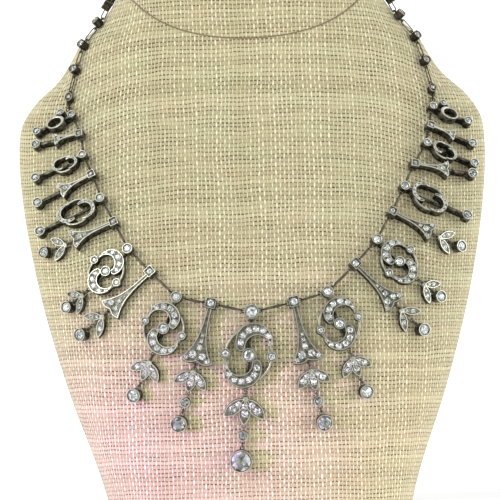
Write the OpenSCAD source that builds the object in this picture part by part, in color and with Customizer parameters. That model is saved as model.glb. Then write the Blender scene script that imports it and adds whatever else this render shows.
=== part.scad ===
// A fringe necklace of old-cut diamonds in silver, on the burlap neck bust that displays it.
// X runs to the viewer's right, Y away from the viewer and Z up, from the bust's base below its neck.

/* [Bust] */
// Height of the neck's flat top above the base
bust_height = 235; // [228:1:245]
// Roundness of the bust's level sections, where 2 is an ellipse
bust_power = 2.5; // [2.2:0.1:2.8]
// Level rings in the bust's skin
bust_rings = 36; // [24:1:48]
// Points round each ring
bust_points = 56; // [40:4:72]
// Rounding of the edges at the base and the neck's top
bust_edge = 3; // [1:0.5:5]

/* [Metal] */
// Gap between the bust and the metal that lies on it
lift = 0.3; // [0.2:0.05:0.6]
// Depth of the head collets
head_depth = 4.2; // [3.6:0.1:4.6]
// Depth of the small collets in a motif
small_depth = 3.2; // [2.8:0.1:3.6]
// Depth of the collets at the pendants' ends
end_depth = 3.8; // [3.2:0.1:4.2]
// Thickness of the scrolls and fishtails
plate = 2.6; // [2.4:0.1:3]
// Thickness of the motifs from the fifth rank out
outer_plate = 3.6; // [2.6:0.1:4]
// Thickness of the leaves
leaf_plate = 2; // [1.8:0.1:2.4]
// Width of a collet's back as a share of its front
collet_taper = 0.95; // [0.93:0.01:1]
// Width of the soldered bars and wires
bar_w = 1.1; // [0.8:0.1:1.4]

/* [Links] */
// Radius of an eye, at the middle of its wire
eye_r = 0.72; // [0.68:0.01:0.75]
// Radius of the wire of eyes and rings
wire_r = 0.22; // [0.2:0.01:0.24]
// Free play where two wires cross
slack = 0.16; // [0.12:0.01:0.2]
// Radius of the bars along the neckline
neckline_r = 0.5; // [0.33:0.01:0.55]
// Distance between the two crossings of a jump ring
ring_span = 1.25; // [1.2:0.01:1.35]
// Collets on each side of the chain
chain_collets = 11; // [9:1:12]
// Outer radius of a chain collet
chain_collet_r = 1.7; // [1.5:0.1:1.9]
// Length of the clasp's body
clasp_l = 9; // [7:0.5:11]

/* [Stones] */
// Width of a collet's rim beside its stone
rim = 0.4; // [0.35:0.01:0.45]
// Gap between a stone and its seat
stone_gap = 0.12; // [0.1:0.01:0.16]
// Radius of a stone's table as a share of its girdle
table = 0.55; // [0.45:0.01:0.65]
// Height of the crown as a share of the girdle's radius
crown = 0.34; // [0.25:0.01:0.4]
// Depth of the pavilion as a share of the girdle's radius
pavilion = 0.75; // [0.6:0.01:0.85]
// Facets round a stone
facets = 8; // [8:1:12]

/* [Hidden] */
$fn = 40;
SILVER = [0.6, 0.61, 0.56];
DARK_SILVER = [0.3, 0.29, 0.26];
DIAMOND = [0.93, 0.94, 0.95];
BURLAP = [0.8, 0.74, 0.6];
// Levels of the middle of the bars and of the hanging eyes above the back of a piece
bar_level = 1.4;
eye_level = 1.3;
// Distance from the end of a wire to the point where it crosses the next wire
hook = wire_r + slack / 2;
// Distance from the edge of a plate to the middle of the eye on it, whose wire is sunk into the plate
eye_reach = eye_r - wire_r + 0.05;
// Distance from the edge of a plate to the crossing in its eye
eye_cross = eye_reach + eye_r - hook;
// How far the soldered wires lie below a plate's front
wire_step = 0.4;
// Height of a stone's girdle, and how far it lies below the rim
girdle = 0.15;
girdle_drop = 0.3;
// Scrolls: half width of the arm as drawn, the wire that closes the ring, and the post behind the centre
// stone, or behind the whole of an oval
ARM_WIDE = 0.727;
CLOSING_FROM = 116;
CLOSING_TO = 200;
closing_bow = 0.8;
post_share = 0.7;
slim_post = 0.85;
// Fishtails: half width of the bar as a share of the tail's, how late the sides flare on the first rank and
// how much later on each rank out, and the bulge of a lobe
tail_stem = 0.14;
tail_flare = 3.3;
tail_later = 0.25;
lobe_bulge = 0.16;
// The small ring of rank 10, thicker at its top, and the curled arm with a collet beside it
ring_thin = 0.6;
ring_shift = 0.6;
curl_x = 3.4;
curl_y = 3.6;
curl_turn = -112;
curl_l = 3.4;
// How far a spray's stem runs past the tip of its middle leaf, and how far below its top the middle of its
// round boss lies
stem_past = 0.15;
boss_drop = 0.8;
// Angles of the side leaves, in sprays of three and of two
SPREAD_3 = 47;
SPREAD_2 = 38;
// The chain's navette and the clasp's body
navette_w = 2.9;
navette_depth = 2.4;
navette_back = 1;
navette_stone_r = 1.15;
clasp_w = 4;
clasp_depth = 2.6;
clasp_back = 0.7;
// How far the middle of the chain's wires lies from the bust, and from the back of a collet
chain_lift = lift + eye_r + wire_r + 0.15;
chain_collet_back = eye_r + wire_r;

// The bust's sections: level, half width, the widest line's Y, depth in front of it, depth behind it
LEVEL = 0;
HALF = 1;
WIDEST = 2;
FRONT = 3;
BACK = 4;
SECTIONS = [
    [0, 50, -8, 37, 50],
    [30, 57.5, -11, 39, 56],
    [60, 67.8, -15, 39, 64],
    [90, 76.2, -15, 36.5, 70],
    [115, 81.2, -13.5, 29.5, 71],
    [135, 83.8, -6, 26, 66],
    [150, 84.3, 0.5, 24, 62],
    [159, 82.9, 5, 23.5, 59],
    [167, 77.5, 8.5, 23, 57.5],
    [174, 69.8, 11, 22.5, 57],
    [181, 65, 13, 22.5, 56.5],
    [188, 61, 15.5, 23, 55.5],
    [195, 54, 17.5, 24, 54.5],
    [203, 48.3, 19.5, 25.5, 53],
    [215, 46, 21.5, 27, 51.5],
    [bust_height, 45.5, 23, 28.5, 50]];

// The pendants: name, turn (-1 mirrors its motif), rank, X and Z of the head's front, hang from straight down
NAME = 0;
TURN = 1;
RANK = 2;
PX = 3;
PZ = 4;
HANG = 5;
PENDANTS = [
    ["l10", -1, 10, -65.2, 162.6, -67],
    ["l9", 1, 9, -62.6, 155.7, -78],
    ["l8", 1, 8, -61.6, 147.9, -66],
    ["l7", 1, 7, -58.5, 140.8, -64],
    ["l6", 1, 6, -55.5, 132.1, -63],
    ["l5", 1, 5, -50.9, 123.4, -68],
    ["l4", -1, 4, -46, 113.5, -47],
    ["l3", 1, 3, -38.2, 105, -49],
    ["l2", -1, 2, -28.8, 95.5, -24.5],
    ["l1", 1, 1, -16.4, 93, -16],
    ["c", 1, 0, -1.7, 89.4, -5.5],
    ["r1", 1, 1, 13.7, 92.8, 12.5],
    ["r2", 1, 2, 26, 96, 19.5],
    ["r3", 1, 3, 36.4, 106, 44],
    ["r4", 1, 4, 44.3, 114.5, 46],
    ["r5", 1, 5, 50.2, 124.6, 61.5],
    ["r6", 1, 6, 55, 133.6, 64],
    ["r7", 1, 7, 58.9, 141.7, 79],
    ["r8", 1, 8, 63.5, 149, 66],
    ["r9", 1, 9, 65.1, 155.4, 66],
    ["r10", 1, 10, 66.1, 162.3, 67]];

// The ranks, in order: head's radius or half side, motif, how far down its middle (or its tail's notch) is,
// half length, half width, radius of its centre stone's collet, radius of its side collets, leaves,
// a leaf's length and width, stem below the leaves, radius of the link collet,
// how far down a soldered end stone is, the end collet's radius
HEAD_R = 0;
MOTIF = 1;
DOWN = 2;
LONG = 3;
WIDE = 4;
MID_R = 5;
SIDE_R = 6;
LEAVES = 7;
LEAF_L = 8;
LEAF_W = 9;
STEM = 10;
LINK_R = 11;
REACH = 12;
END_R = 13;
RANKS = [
    [2.7, "scroll", 15.6, 11.9, 8.4, 2.5, 1.85, 3, 10.2, 4.4, 0, 1.85, 0, 4.1],
    [1.9, "fishtail", 21.6, 21.6, 5.75, 0, 0, 3, 8.2, 3.9, 0, 1.85, 0, 3],
    [2.05, "scroll", 12.2, 9.4, 7.3, 2.1, 1.5, 3, 7.9, 3.6, 0, 0, 0, 2.6],
    [1.7, "fishtail", 19.8, 19.8, 4.7, 0, 0, 2, 8, 3, 5.8, 0, 0, 2.4],
    [1.9, "scroll", 11.4, 8.5, 6.2, 1.9, 1.5, 2, 7.2, 2.9, 2.6, 0, 0, 2.2],
    [1.6, "fishtail", 15.8, 15.8, 3.9, 0, 0, 2, 7, 2.8, 3.8, 0, 0, 2.15],
    [1.8, "oval", 10, 7.1, 5.3, 0, 0, 0, 0, 0, 0, 0, 25, 1.95],
    [1.45, "fishtail", 12.6, 12.6, 3.3, 0, 0, 0, 0, 0, 0, 0, 22.2, 1.9],
    [1.55, "oval", 7.3, 4.8, 3.5, 0, 0, 0, 0, 0, 0, 0, 19.1, 1.75],
    [1.35, "fishtail", 9.4, 9.4, 2.5, 0, 0, 0, 0, 0, 0, 0, 16.8, 1.7],
    [1.5, "ringlet", 6.6, 3.5, 2.5, 0, 1.3, 0, 0, 0, 0, 0, 14.1, 1.65]];

// The chain's way from a rank 10 head to the nape: turn round the neck from the front, and level
ROUTE = [
    [47.5, 160],
    [55.5, 168.5],
    [65.5, 177],
    [70, 185.5],
    [73, 192],
    [79, 197.2],
    [89.5, 201.3],
    [104, 204.7],
    [124, 208],
    [151, 211],
    [180, 212]];

// Small sums on vectors
function unit(v) = v / norm(v);
function arc(x, y, r, from, to, steps) =
    [for (i = [0 : steps]) let (a = from + (to - from) * i / steps) [x + r * cos(a), y + r * sin(a)]];

// The bust's sections are joined by a smooth curve through the table's rows
function row_below(z, i = 0) =
    i >= len(SECTIONS) - 2 || SECTIONS[i + 1][LEVEL] > z ? i : row_below(z, i + 1);
function slope(c, i) = let (a = SECTIONS[max(i - 1, 0)], b = SECTIONS[min(i + 1, len(SECTIONS) - 1)])
    (b[c] - a[c]) / (b[LEVEL] - a[LEVEL]);
function section(c, z) = let (
    i = row_below(z),
    a = SECTIONS[i],
    b = SECTIONS[i + 1],
    h = b[LEVEL] - a[LEVEL],
    s = (z - a[LEVEL]) / h)
    a[c] * (1 + 2 * s) * pow(1 - s, 2) + h * slope(c, i) * s * pow(1 - s, 2)
    + b[c] * s * s * (3 - 2 * s) + h * slope(c, i + 1) * s * s * (s - 1);

// A point of the bust's skin, t degrees round from the front towards +X, at level z
function bent(v) = sign(v) * pow(abs(v), 2 / bust_power);
function skin(t, z) = [
    section(HALF, z) * bent(sin(t)),
    section(WIDEST, z) - section(cos(t) > 0 ? FRONT : BACK, z) * bent(cos(t)),
    z];
function outward(t, z) = unit(cross(skin(t + 1, z) - skin(t - 1, z), skin(t, z + 1) - skin(t, z - 1)));
function turn_at(x, z) = sign(x) * asin(min(1, pow(abs(x) / section(HALF, z), bust_power / 2)));

// Where a rigid piece lies, as its start, the way down it and the way out of the bust.
// The front of its head is at X and Z, it hangs at an angle, and it rests on the bust at its middle.
function lie(face_x, face_z, hang, length) = let (
    mid_x = face_x + sin(hang) * length / 2,
    mid_z = face_z - cos(hang) * length / 2,
    t = turn_at(mid_x, mid_z),
    n = outward(t, mid_z),
    rest = skin(t, mid_z) + lift * n,
    x = face_x - head_depth * n[0],
    z = face_z - head_depth * n[2],
    y = rest[1] - (n[0] * (x - rest[0]) + n[2] * (z - rest[2])) / n[1])
    [[x, y, z], unit([sin(hang), (n[2] * cos(hang) - n[0] * sin(hang)) / n[1], -cos(hang)]), n];
function along(place, d) = place[0] + place[1] * d;
function across(place) = cross(-place[1], place[2]);
function raised(place, xyz) = place[0] + across(place) * xyz[0] - place[1] * xyz[1] + place[2] * xyz[2];

// Lengths down a pendant, its motif's thickness, and where each of its pieces starts
function thickness(k) = k < 5 ? plate : outer_plate;
function motif_end(k) = RANKS[k][MOTIF] == "fishtail" ? RANKS[k][DOWN] : RANKS[k][DOWN] + RANKS[k][LONG];
function frame_end(k) = RANKS[k][LEAVES] > 0 ? motif_end(k) : RANKS[k][REACH];
function spray_l(k) = RANKS[k][LEAVES] == 3 ? RANKS[k][LEAF_L] : RANKS[k][STEM];
function frame_place(p) = lie(p[PX], p[PZ], p[HANG], frame_end(p[RANK]));
// A piece that starts at a point and rests its far end on the bust
function rest(start, hang, length, down) = let (
    seen = norm([down[0], down[2]]) * length,
    x = start[0] + sin(hang) * seen,
    z = start[2] - cos(hang) * seen,
    t = turn_at(x, z),
    n = outward(t, z),
    way = unit(skin(t, z) + lift * n - start))
    [start, way, unit(n - way * (n * way))];
// The piece that hangs from the one before it. The two wires cross, or a jump ring joins them.
function next_place(p, before, gone, between, length) = let (
    from = raised(before, [0, -gone - eye_cross, eye_level]),
    first = rest(along(before, gone + between + 2 * eye_cross), p[HANG], length, before[1]),
    second = rest(below(from, before, first, between), p[HANG], length, first[1]))
    [below(from, before, second, between), second[1], second[2]];
function below(from, before, place, between) =
    from + between * unit(before[1] + place[1]) + eye_cross * place[1] - eye_level * place[2];
function spray_place(p) = let (k = p[RANK])
    next_place(p, frame_place(p), motif_end(k), ring_span, spray_l(k));
function link_place(p) = let (k = p[RANK])
    next_place(p, spray_place(p), spray_l(k), 0, 2 * RANKS[k][LINK_R]);
function drop_place(p) = let (k = p[RANK], r = RANKS[k][LINK_R]) r > 0
    ? next_place(p, link_place(p), 2 * r, ring_span, 2 * RANKS[k][END_R])
    : next_place(p, spray_place(p), spray_l(k), ring_span, 2 * RANKS[k][END_R]);

// The collets of a frame: X, Y, radius and depth
function mid_collets(k) = let (r = RANKS[k]) concat(
    r[MID_R] > 0 ? [[0, -r[DOWN], r[MID_R], small_depth]] : [],
    r[MOTIF] == "scroll" ? [for (s = [-1, 1]) [s * r[WIDE], -r[DOWN], r[SIDE_R], small_depth]] : [],
    r[MOTIF] == "ringlet" ? [[curl_x, -curl_y, r[SIDE_R], end_depth]] : []);
function end_collets(k) = RANKS[k][LEAVES] > 0 ? [] : [[0, -RANKS[k][REACH], RANKS[k][END_R], end_depth]];

// A piece set down in its place
module set_at(place) {
    up = -place[1];
    out = place[2];
    side = cross(up, out);
    multmatrix([for (i = [0 : 2]) [side[i], up[i], out[i], place[0][i]]]) children();
}

// A piece laid from one crossing to the next, X along it and Z out of the bust
module span(a, b, out) {
    x = unit(b - a);
    z = unit(out - x * (out * x));
    y = cross(z, x);
    multmatrix([for (i = [0 : 2]) [x[i], y[i], z[i], a[i]]]) children();
}

// Wire, collets and stones
module ring(r) {
    rotate_extrude($fn = 48) translate([r, 0]) circle(wire_r, $fn = 16);
}
module flat_eye(x, y) {
    translate([x, y, eye_level]) ring(eye_r);
}
module standing_eye(y) {
    translate([0, y, eye_level]) rotate([0, 90, 0]) ring(eye_r);
}
module collet(x, y, r, depth) {
    translate([x, y, 0]) cylinder(h = depth, r1 = r * collet_taper, r2 = r);
}
function stone_r(r) = r - rim - stone_gap;
function seat_depth(r) = girdle_drop + girdle + pavilion * stone_r(r) + stone_gap;
module seat(x, y, r, depth) {
    translate([x, y, depth - seat_depth(r)]) cylinder(h = seat_depth(r) + 1, r = r - rim);
}
module stone(x, y, r, depth) {
    s = stone_r(r);
    top = depth - girdle_drop;
    translate([x, y, top]) rotate_extrude($fn = facets) polygon([
        [0, -girdle - pavilion * s], [s, -girdle], [s, 0], [table * s, crown * s], [0, crown * s]]);
}

// One arm of a scroll, in a scroll of half length 1: a crescent that curls in to the middle
ARM = concat(
    arc(0.133, 0.425, 0.576, -22, 197, 15),
    arc(-0.26, 0.26, 0.15, 200, 350, 4),
    arc(0.258, 0.242, 0.386, 176, -8, 12));
// The slimmer arm of an oval, which leaves the ring wide open
SLIM_ARM = concat(
    arc(0.133, 0.425, 0.576, -22, 197, 15),
    arc(-0.347, 0.267, 0.071, 205, 350, 4),
    arc(0.163, 0.354, 0.446, 190, -20, 12));
module arm(points, half_l, half_w) {
    polygon([for (q = points) [q[0] * half_w / ARM_WIDE, q[1] * half_l]]);
}
// The thin wire that closes the ring from one arm's back, past the side collet, to the other arm's horn
module closing_wire(half_l, half_w) {
    bow = closing_bow * half_l;
    turns = [for (i = [0 : 10]) CLOSING_FROM + (CLOSING_TO - CLOSING_FROM) * i / 10];
    inner = [for (a = turns) [(half_w - bar_w / 2) * cos(a), (bow - bar_w / 2) * sin(a)]];
    outer = [for (i = [len(turns) - 1 : -1 : 0]) let (a = turns[i])
        [(half_w + bar_w / 2) * cos(a), (bow + bar_w / 2) * sin(a)]];
    polygon(concat(inner, outer));
}
module scroll(k) {
    r = RANKS[k];
    slim = r[MOTIF] == "oval";
    half_w = r[WIDE] - (slim ? bar_w / 2 : 0);
    post = r[LONG] * (slim ? slim_post : post_share);
    translate([0, -r[DOWN], 0]) for (a = [0, 180]) rotate([0, 0, a]) {
        linear_extrude(thickness(k)) arm(slim ? SLIM_ARM : ARM, r[LONG], half_w);
        linear_extrude(thickness(k) - wire_step) closing_wire(r[LONG], half_w);
    }
    translate([-bar_w / 2, -r[DOWN] - post, 0]) cube([bar_w, 2 * post, bar_w]);
}

// A fishtail: a narrow bar with hollow sides that ends in two lobes with a notch between them
module fishtail(k) {
    l = RANKS[k][LONG];
    w = RANKS[k][WIDE];
    stem = w * tail_stem;
    flare = tail_flare + tail_later * (k - 1);
    side = [for (i = [0 : 10]) let (s = i / 10) [stem + (w - stem) * pow(s, flare), -l * s]];
    foot = [for (i = [1 : 5]) let (s = 1 - i / 6) [w * s, -l - lobe_bulge * w * sin(180 * s)]];
    half = concat(side, foot);
    other = [for (i = [len(half) - 1 : -1 : 0]) [-half[i][0], half[i][1]]];
    linear_extrude(thickness(k)) polygon(concat(half, [[0, -l]], other));
}

// A small ring with a curled arm that carries a collet beside it
module oval(half_w, half_l) {
    polygon([for (a = [0 : 15 : 345]) [half_w * cos(a), half_l * sin(a)]]);
}
module ringlet(k) {
    r = RANKS[k];
    wall = bar_w * ring_thin;
    translate([0, -r[DOWN], 0]) linear_extrude(thickness(k)) difference() {
        oval(r[WIDE], r[LONG]);
        translate([0, -ring_shift / 2]) oval(r[WIDE] - wall, r[LONG] - wall - ring_shift / 2);
    }
    translate([curl_x, -curl_y, 0]) rotate([0, 0, curl_turn]) translate([0, -bar_w / 2, 0])
        cube([curl_l, bar_w, thickness(k)]);
}

// A head's edge in the direction of its neighbour
function head_edge(k, a) = RANKS[k][MOTIF] == "fishtail"
    ? RANKS[k][HEAD_R] / max(abs(cos(a)), abs(sin(a)))
    : RANKS[k][HEAD_R] * (1 - (1 - collet_taper) * 0.6);
// The way from a head to a point, as an angle in the head's own plane
function way_to(place, point) = let (d = point - place[0]) atan2(-d * place[1], d * across(place));
function cross_at(k, place, point, reach) = let (a = way_to(place, point), d = head_edge(k, a) + reach)
    raised(place, [d * cos(a), d * sin(a), bar_level]);
module head_eye(k, place, point) {
    a = way_to(place, point);
    d = head_edge(k, a) + eye_reach;
    translate([d * cos(a), d * sin(a), bar_level]) ring(eye_r);
}

// What stands below a head before the seats are cut: the motif, and the end collet where it is soldered on
module pendant_body(p) {
    k = p[RANK];
    r = RANKS[k];
    neck = r[DOWN] - r[LONG];
    if (r[MOTIF] == "fishtail")
        translate([-r[HEAD_R], -r[HEAD_R], 0]) cube([2 * r[HEAD_R], 2 * r[HEAD_R], head_depth]);
    else {
        collet(0, 0, r[HEAD_R], head_depth);
        translate([-bar_w / 2, -neck - bar_w, 0]) cube([bar_w, neck + bar_w, thickness(k) - wire_step]);
    }
    mirror([p[TURN] < 0 ? 1 : 0, 0, 0]) {
        if (r[MOTIF] == "fishtail") fishtail(k);
        else if (r[MOTIF] == "ringlet") ringlet(k);
        else scroll(k);
    }
    if (r[LEAVES] == 0)
        translate([-bar_w / 2, -r[REACH], 0])
            cube([bar_w, r[REACH] - motif_end(k) + bar_w, thickness(k) - 2 * wire_step]);
    for (c = concat(mid_collets(k), end_collets(k))) collet(p[TURN] * c[0], c[1], c[2], c[3]);
}

// One pendant's frame, with eyes towards both of its neighbours
module pendant(i) {
    p = PENDANTS[i];
    k = p[RANK];
    place = frame_place(p);
    before = i > 0 ? frame_place(PENDANTS[i - 1])[0] : chain_start(-1);
    after = i < len(PENDANTS) - 1 ? frame_place(PENDANTS[i + 1])[0] : chain_start(1);
    color(SILVER) set_at(place) {
        for (q = [before, after]) head_eye(k, place, q);
        if (RANKS[k][LEAVES] > 0) flat_eye(0, -motif_end(k) - eye_reach);
        difference() {
            pendant_body(p);
            seat(0, 0, RANKS[k][HEAD_R], head_depth);
            for (c = concat(mid_collets(k), end_collets(k))) seat(p[TURN] * c[0], c[1], c[2], c[3]);
        }
    }
}

// A leaf from its foot at the origin down to its tip
module leaf(l, w, h) {
    r = (l * l + w * w) / (4 * w);
    intersection_for(s = [-1, 1]) translate([s * (r - w / 2), -l / 2, 0]) cylinder(h = h, r = r, $fn = 96);
}
module leaf_spray(p) {
    k = p[RANK];
    r = RANKS[k];
    spread = r[LEAVES] == 3 ? SPREAD_3 : SPREAD_2;
    color(SILVER) set_at(spray_place(p)) {
        flat_eye(0, eye_reach);
        flat_eye(0, -spray_l(k) - eye_reach);
        translate([0, -boss_drop, 0]) cylinder(h = leaf_plate, r = bar_w);
        for (s = [-1, 1]) translate([0, -bar_w / 2, 0]) rotate([0, 0, s * spread])
            leaf(r[LEAF_L], r[LEAF_W], leaf_plate);
        if (r[LEAVES] == 3) leaf(r[LEAF_L], r[LEAF_W], leaf_plate);
        translate([-bar_w / 2, -spray_l(k) - stem_past, 0])
            cube([bar_w, spray_l(k) + stem_past, leaf_plate - wire_step]);
    }
}

// A collet that hangs from its upper edge
module hung_collet(r, depth) {
    difference() {
        collet(0, -r, r, depth);
        seat(0, -r, r, depth);
    }
}
module link_collet(p) {
    r = RANKS[p[RANK]][LINK_R];
    color(SILVER) set_at(link_place(p)) {
        standing_eye(eye_reach);
        flat_eye(0, -2 * r - eye_reach);
        hung_collet(r, small_depth);
    }
}
module drop(p) {
    r = RANKS[p[RANK]][END_R];
    color(SILVER) set_at(drop_place(p)) {
        flat_eye(0, eye_reach);
        hung_collet(r, end_depth);
    }
}

// A link of bent wire between two crossings: a long loop, or a ring where they are close together
module half_ring(r) {
    rotate_extrude(angle = 180) translate([r, 0]) circle(wire_r, $fn = 16);
}
module wire_link(a, b, out) {
    l = norm(b - a) + 2 * hook;
    span(a, b, out) rotate([90, 0, 0]) translate([-hook, 0, 0]) {
        if (l < 3 * eye_r) translate([l / 2, 0, 0]) ring(l / 2);
        else {
            translate([eye_r, 0, 0]) rotate([0, 0, 90]) half_ring(eye_r);
            translate([l - eye_r, 0, 0]) rotate([0, 0, -90]) half_ring(eye_r);
            for (s = [-1, 1]) translate([eye_r, s * eye_r, 0]) rotate([0, 90, 0])
                cylinder(h = l - 2 * eye_r, r = wire_r, $fn = 16);
        }
    }
}

// A bar between two head collets, with an eye at each end
module neckline_bar(i) {
    p = PENDANTS[i];
    q = PENDANTS[i + 1];
    p_at = frame_place(p);
    q_at = frame_place(q);
    a = cross_at(p[RANK], p_at, q_at[0], eye_cross);
    b = cross_at(q[RANK], q_at, p_at[0], eye_cross);
    l = norm(b - a);
    span(a, b, p_at[2] + q_at[2]) {
        for (x = [eye_r - hook, l - eye_r + hook]) translate([x, 0, 0]) rotate([90, 0, 0]) ring(eye_r);
        translate([2 * eye_r - hook - wire_r / 2, 0, 0]) rotate([0, 90, 0])
            cylinder(h = l - 4 * eye_r + 2 * hook + wire_r, r = neckline_r, $fn = 24);
    }
}

// The jump ring between two places, from the end of the first piece to the start of the second
module jump_ring(from, gone, to) {
    a = raised(from, [0, -gone - eye_cross, eye_level]);
    b = raised(to, [0, eye_cross, eye_level]);
    wire_link(a, b, from[2] + to[2]);
}

// The chain's way, smooth through the rows of the route, with its length
STEPS = 12;
function bend(a, b, c, d, s) = 0.5 * (2 * b + (c - a) * s + (2 * a - 5 * b + 4 * c - d) * s * s
    + (3 * b - a - 3 * c + d) * s * s * s);
function route(u) = let (
    last = len(ROUTE) - 1,
    i = min(floor(u), last - 1),
    s = u - i,
    a = ROUTE[max(i - 1, 0)],
    d = i + 2 > last ? [2 * ROUTE[last][0] - ROUTE[last - 1][0], ROUTE[last - 1][1]] : ROUTE[i + 2])
    bend(a, ROUTE[i], ROUTE[i + 1], d, s);
function way(u) = let (r = route(u)) skin(r[0], r[1]) + chain_lift * outward(r[0], r[1]);
WAY = [for (i = [0 : STEPS * (len(ROUTE) - 1)]) way(i / STEPS)];
function step_l(i) = i + 1 < len(WAY) ? norm(WAY[i + 1] - WAY[i]) : 0;
RUN = [for (i = 0, s = 0; i < len(WAY); s = s + step_l(i), i = i + 1) [s, i / STEPS]];
chain_l = RUN[len(RUN) - 1][0];
function at_run(s) = lookup(s, RUN);
function mirrored(v, side) = [side * v[0], v[1], v[2]];
function chain_point(side, s) = mirrored(way(at_run(s)), side);
function chain_out(side, s) = let (r = route(at_run(s))) mirrored(outward(r[0], r[1]), side);
function chain_start(side) = chain_point(side, RANKS[10][HEAD_R] + eye_cross + ring_span);

// The chain's pieces in their order from the head: kind, and length from crossing to crossing
KIND = 0;
SPAN = 1;
navette_span = 6.1;
first_link = 7;
collet_span = 2 * chain_collet_r + 2 * eye_cross;
chain_before = RANKS[10][HEAD_R] + eye_cross;
clasp_half = clasp_l / 2 + eye_cross;
link_span = (chain_l - chain_before - 3 * ring_span - navette_span - first_link - clasp_half
    - chain_collets * collet_span) / chain_collets;
CHAIN = concat(
    [["wire", ring_span], ["flat", ring_span], ["wire", ring_span]],
    [["navette", navette_span], ["wire", first_link]],
    [for (i = [1 : chain_collets]) each [["collet", collet_span], ["wire", link_span]]]);
CHAIN_AT = [for (i = 0, s = chain_before; i < len(CHAIN); s = s + CHAIN[i][SPAN], i = i + 1) s];

// The radius of a chain stone's collet, its depth, and how far its back lies from the chain's middle
function chain_seat(kind) = kind == "navette"
    ? [navette_stone_r, navette_depth, navette_back]
    : [chain_collet_r, small_depth, chain_collet_back];
module chain_piece(side, i) {
    s = CHAIN_AT[i];
    kind = CHAIN[i][KIND];
    l = CHAIN[i][SPAN];
    place10 = frame_place(PENDANTS[side < 0 ? 0 : len(PENDANTS) - 1]);
    a = i == 0 ? cross_at(10, place10, chain_start(side), eye_cross) : chain_point(side, s);
    b = chain_point(side, s + l);
    out = chain_out(side, s + l / 2);
    if (kind == "wire") wire_link(a, b, out);
    else if (kind == "flat") wire_link(a, b, cross(b - a, out));
    else span(a, b, out) {
        d = norm(b - a);
        q = chain_seat(kind);
        for (x = [eye_cross - eye_reach, d - eye_cross + eye_reach]) translate([x, 0, 0]) ring(eye_r);
        difference() {
            if (kind == "navette") translate([eye_cross, 0, -q[2]]) rotate([0, 0, 90])
                leaf(d - 2 * eye_cross, navette_w, navette_depth);
            else translate([d / 2, 0, -q[2]]) collet(0, 0, q[0], q[1]);
            translate([d / 2, 0, -q[2]]) seat(0, 0, q[0], q[1]);
        }
    }
}
module chain_stone(side, i) {
    s = CHAIN_AT[i];
    l = CHAIN[i][SPAN];
    a = chain_point(side, s);
    b = chain_point(side, s + l);
    q = chain_seat(CHAIN[i][KIND]);
    span(a, b, chain_out(side, s + l / 2)) translate([norm(b - a) / 2, 0, -q[2]]) stone(0, 0, q[0], q[1]);
}

module neck_bust() {
    rounded = [for (a = [0 : 30 : 90]) [bust_edge * (1 - sin(a)), bust_edge * (1 - cos(a))]];
    levels = concat(
        rounded,
        [for (i = [1 : bust_rings]) [0, bust_edge + (bust_height - 2 * bust_edge) * i / bust_rings]],
        [for (i = [2 : -1 : 0]) [rounded[i][0], bust_height - rounded[i][1]]]);
    shape = [for (q = levels) let (mid = [0, section(WIDEST, q[1]), q[1]])
        for (j = [0 : bust_points - 1]) let (v = skin(360 * j / bust_points, q[1]), d = v - mid)
            mid + d * (1 - q[0] / norm(d))];
    last = len(levels) - 1;
    walls = [for (i = [0 : last - 1], j = [0 : bust_points - 1]) let (k = (j + 1) % bust_points)
        [i * bust_points + j, (i + 1) * bust_points + j, (i + 1) * bust_points + k, i * bust_points + k]];
    base = [[for (j = [0 : bust_points - 1]) j]];
    top = [[for (j = [bust_points - 1 : -1 : 0]) last * bust_points + j]];
    color(BURLAP) polyhedron(shape, concat(walls, base, top));
}
module neckline_bars() {
    color(DARK_SILVER) for (i = [0 : len(PENDANTS) - 2]) neckline_bar(i);
}
module jump_rings() {
    color(DARK_SILVER) for (p = PENDANTS) if (RANKS[p[RANK]][LEAVES] > 0) {
        k = p[RANK];
        link_r = RANKS[k][LINK_R];
        jump_ring(frame_place(p), motif_end(k), spray_place(p));
        if (link_r > 0) jump_ring(link_place(p), 2 * link_r, drop_place(p));
        else jump_ring(spray_place(p), spray_l(k), drop_place(p));
    }
}
module chain(side) {
    color(DARK_SILVER) for (i = [0 : len(CHAIN) - 1]) chain_piece(side, i);
}
module clasp() {
    a = chain_point(1, chain_l - clasp_half);
    b = chain_point(-1, chain_l - clasp_half);
    d = norm(b - a);
    color(DARK_SILVER) span(a, b, chain_out(1, chain_l)) {
        for (x = [eye_cross - eye_reach, d - eye_cross + eye_reach]) translate([x, 0, 0]) ring(eye_r);
        translate([eye_cross, -clasp_w / 2, -clasp_back]) cube([d - 2 * eye_cross, clasp_w, clasp_depth]);
    }
}
module head_stones() {
    color(DIAMOND) for (p = PENDANTS)
        set_at(frame_place(p)) stone(0, 0, RANKS[p[RANK]][HEAD_R], head_depth);
}
module motif_stones() {
    color(DIAMOND) for (p = PENDANTS) {
        k = p[RANK];
        link_r = RANKS[k][LINK_R];
        set_at(frame_place(p)) for (c = mid_collets(k)) stone(p[TURN] * c[0], c[1], c[2], c[3]);
        if (link_r > 0) set_at(link_place(p)) stone(0, -link_r, link_r, small_depth);
    }
}
module end_stones() {
    color(DIAMOND) for (p = PENDANTS) {
        k = p[RANK];
        end_r = RANKS[k][END_R];
        if (RANKS[k][LEAVES] > 0) set_at(drop_place(p)) stone(0, -end_r, end_r, end_depth);
        else set_at(frame_place(p)) stone(0, -RANKS[k][REACH], end_r, end_depth);
    }
}
module chain_stones() {
    color(DIAMOND) for (side = [-1, 1], i = [0 : len(CHAIN) - 1])
        if (CHAIN[i][KIND] == "navette" || CHAIN[i][KIND] == "collet") chain_stone(side, i);
}

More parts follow.
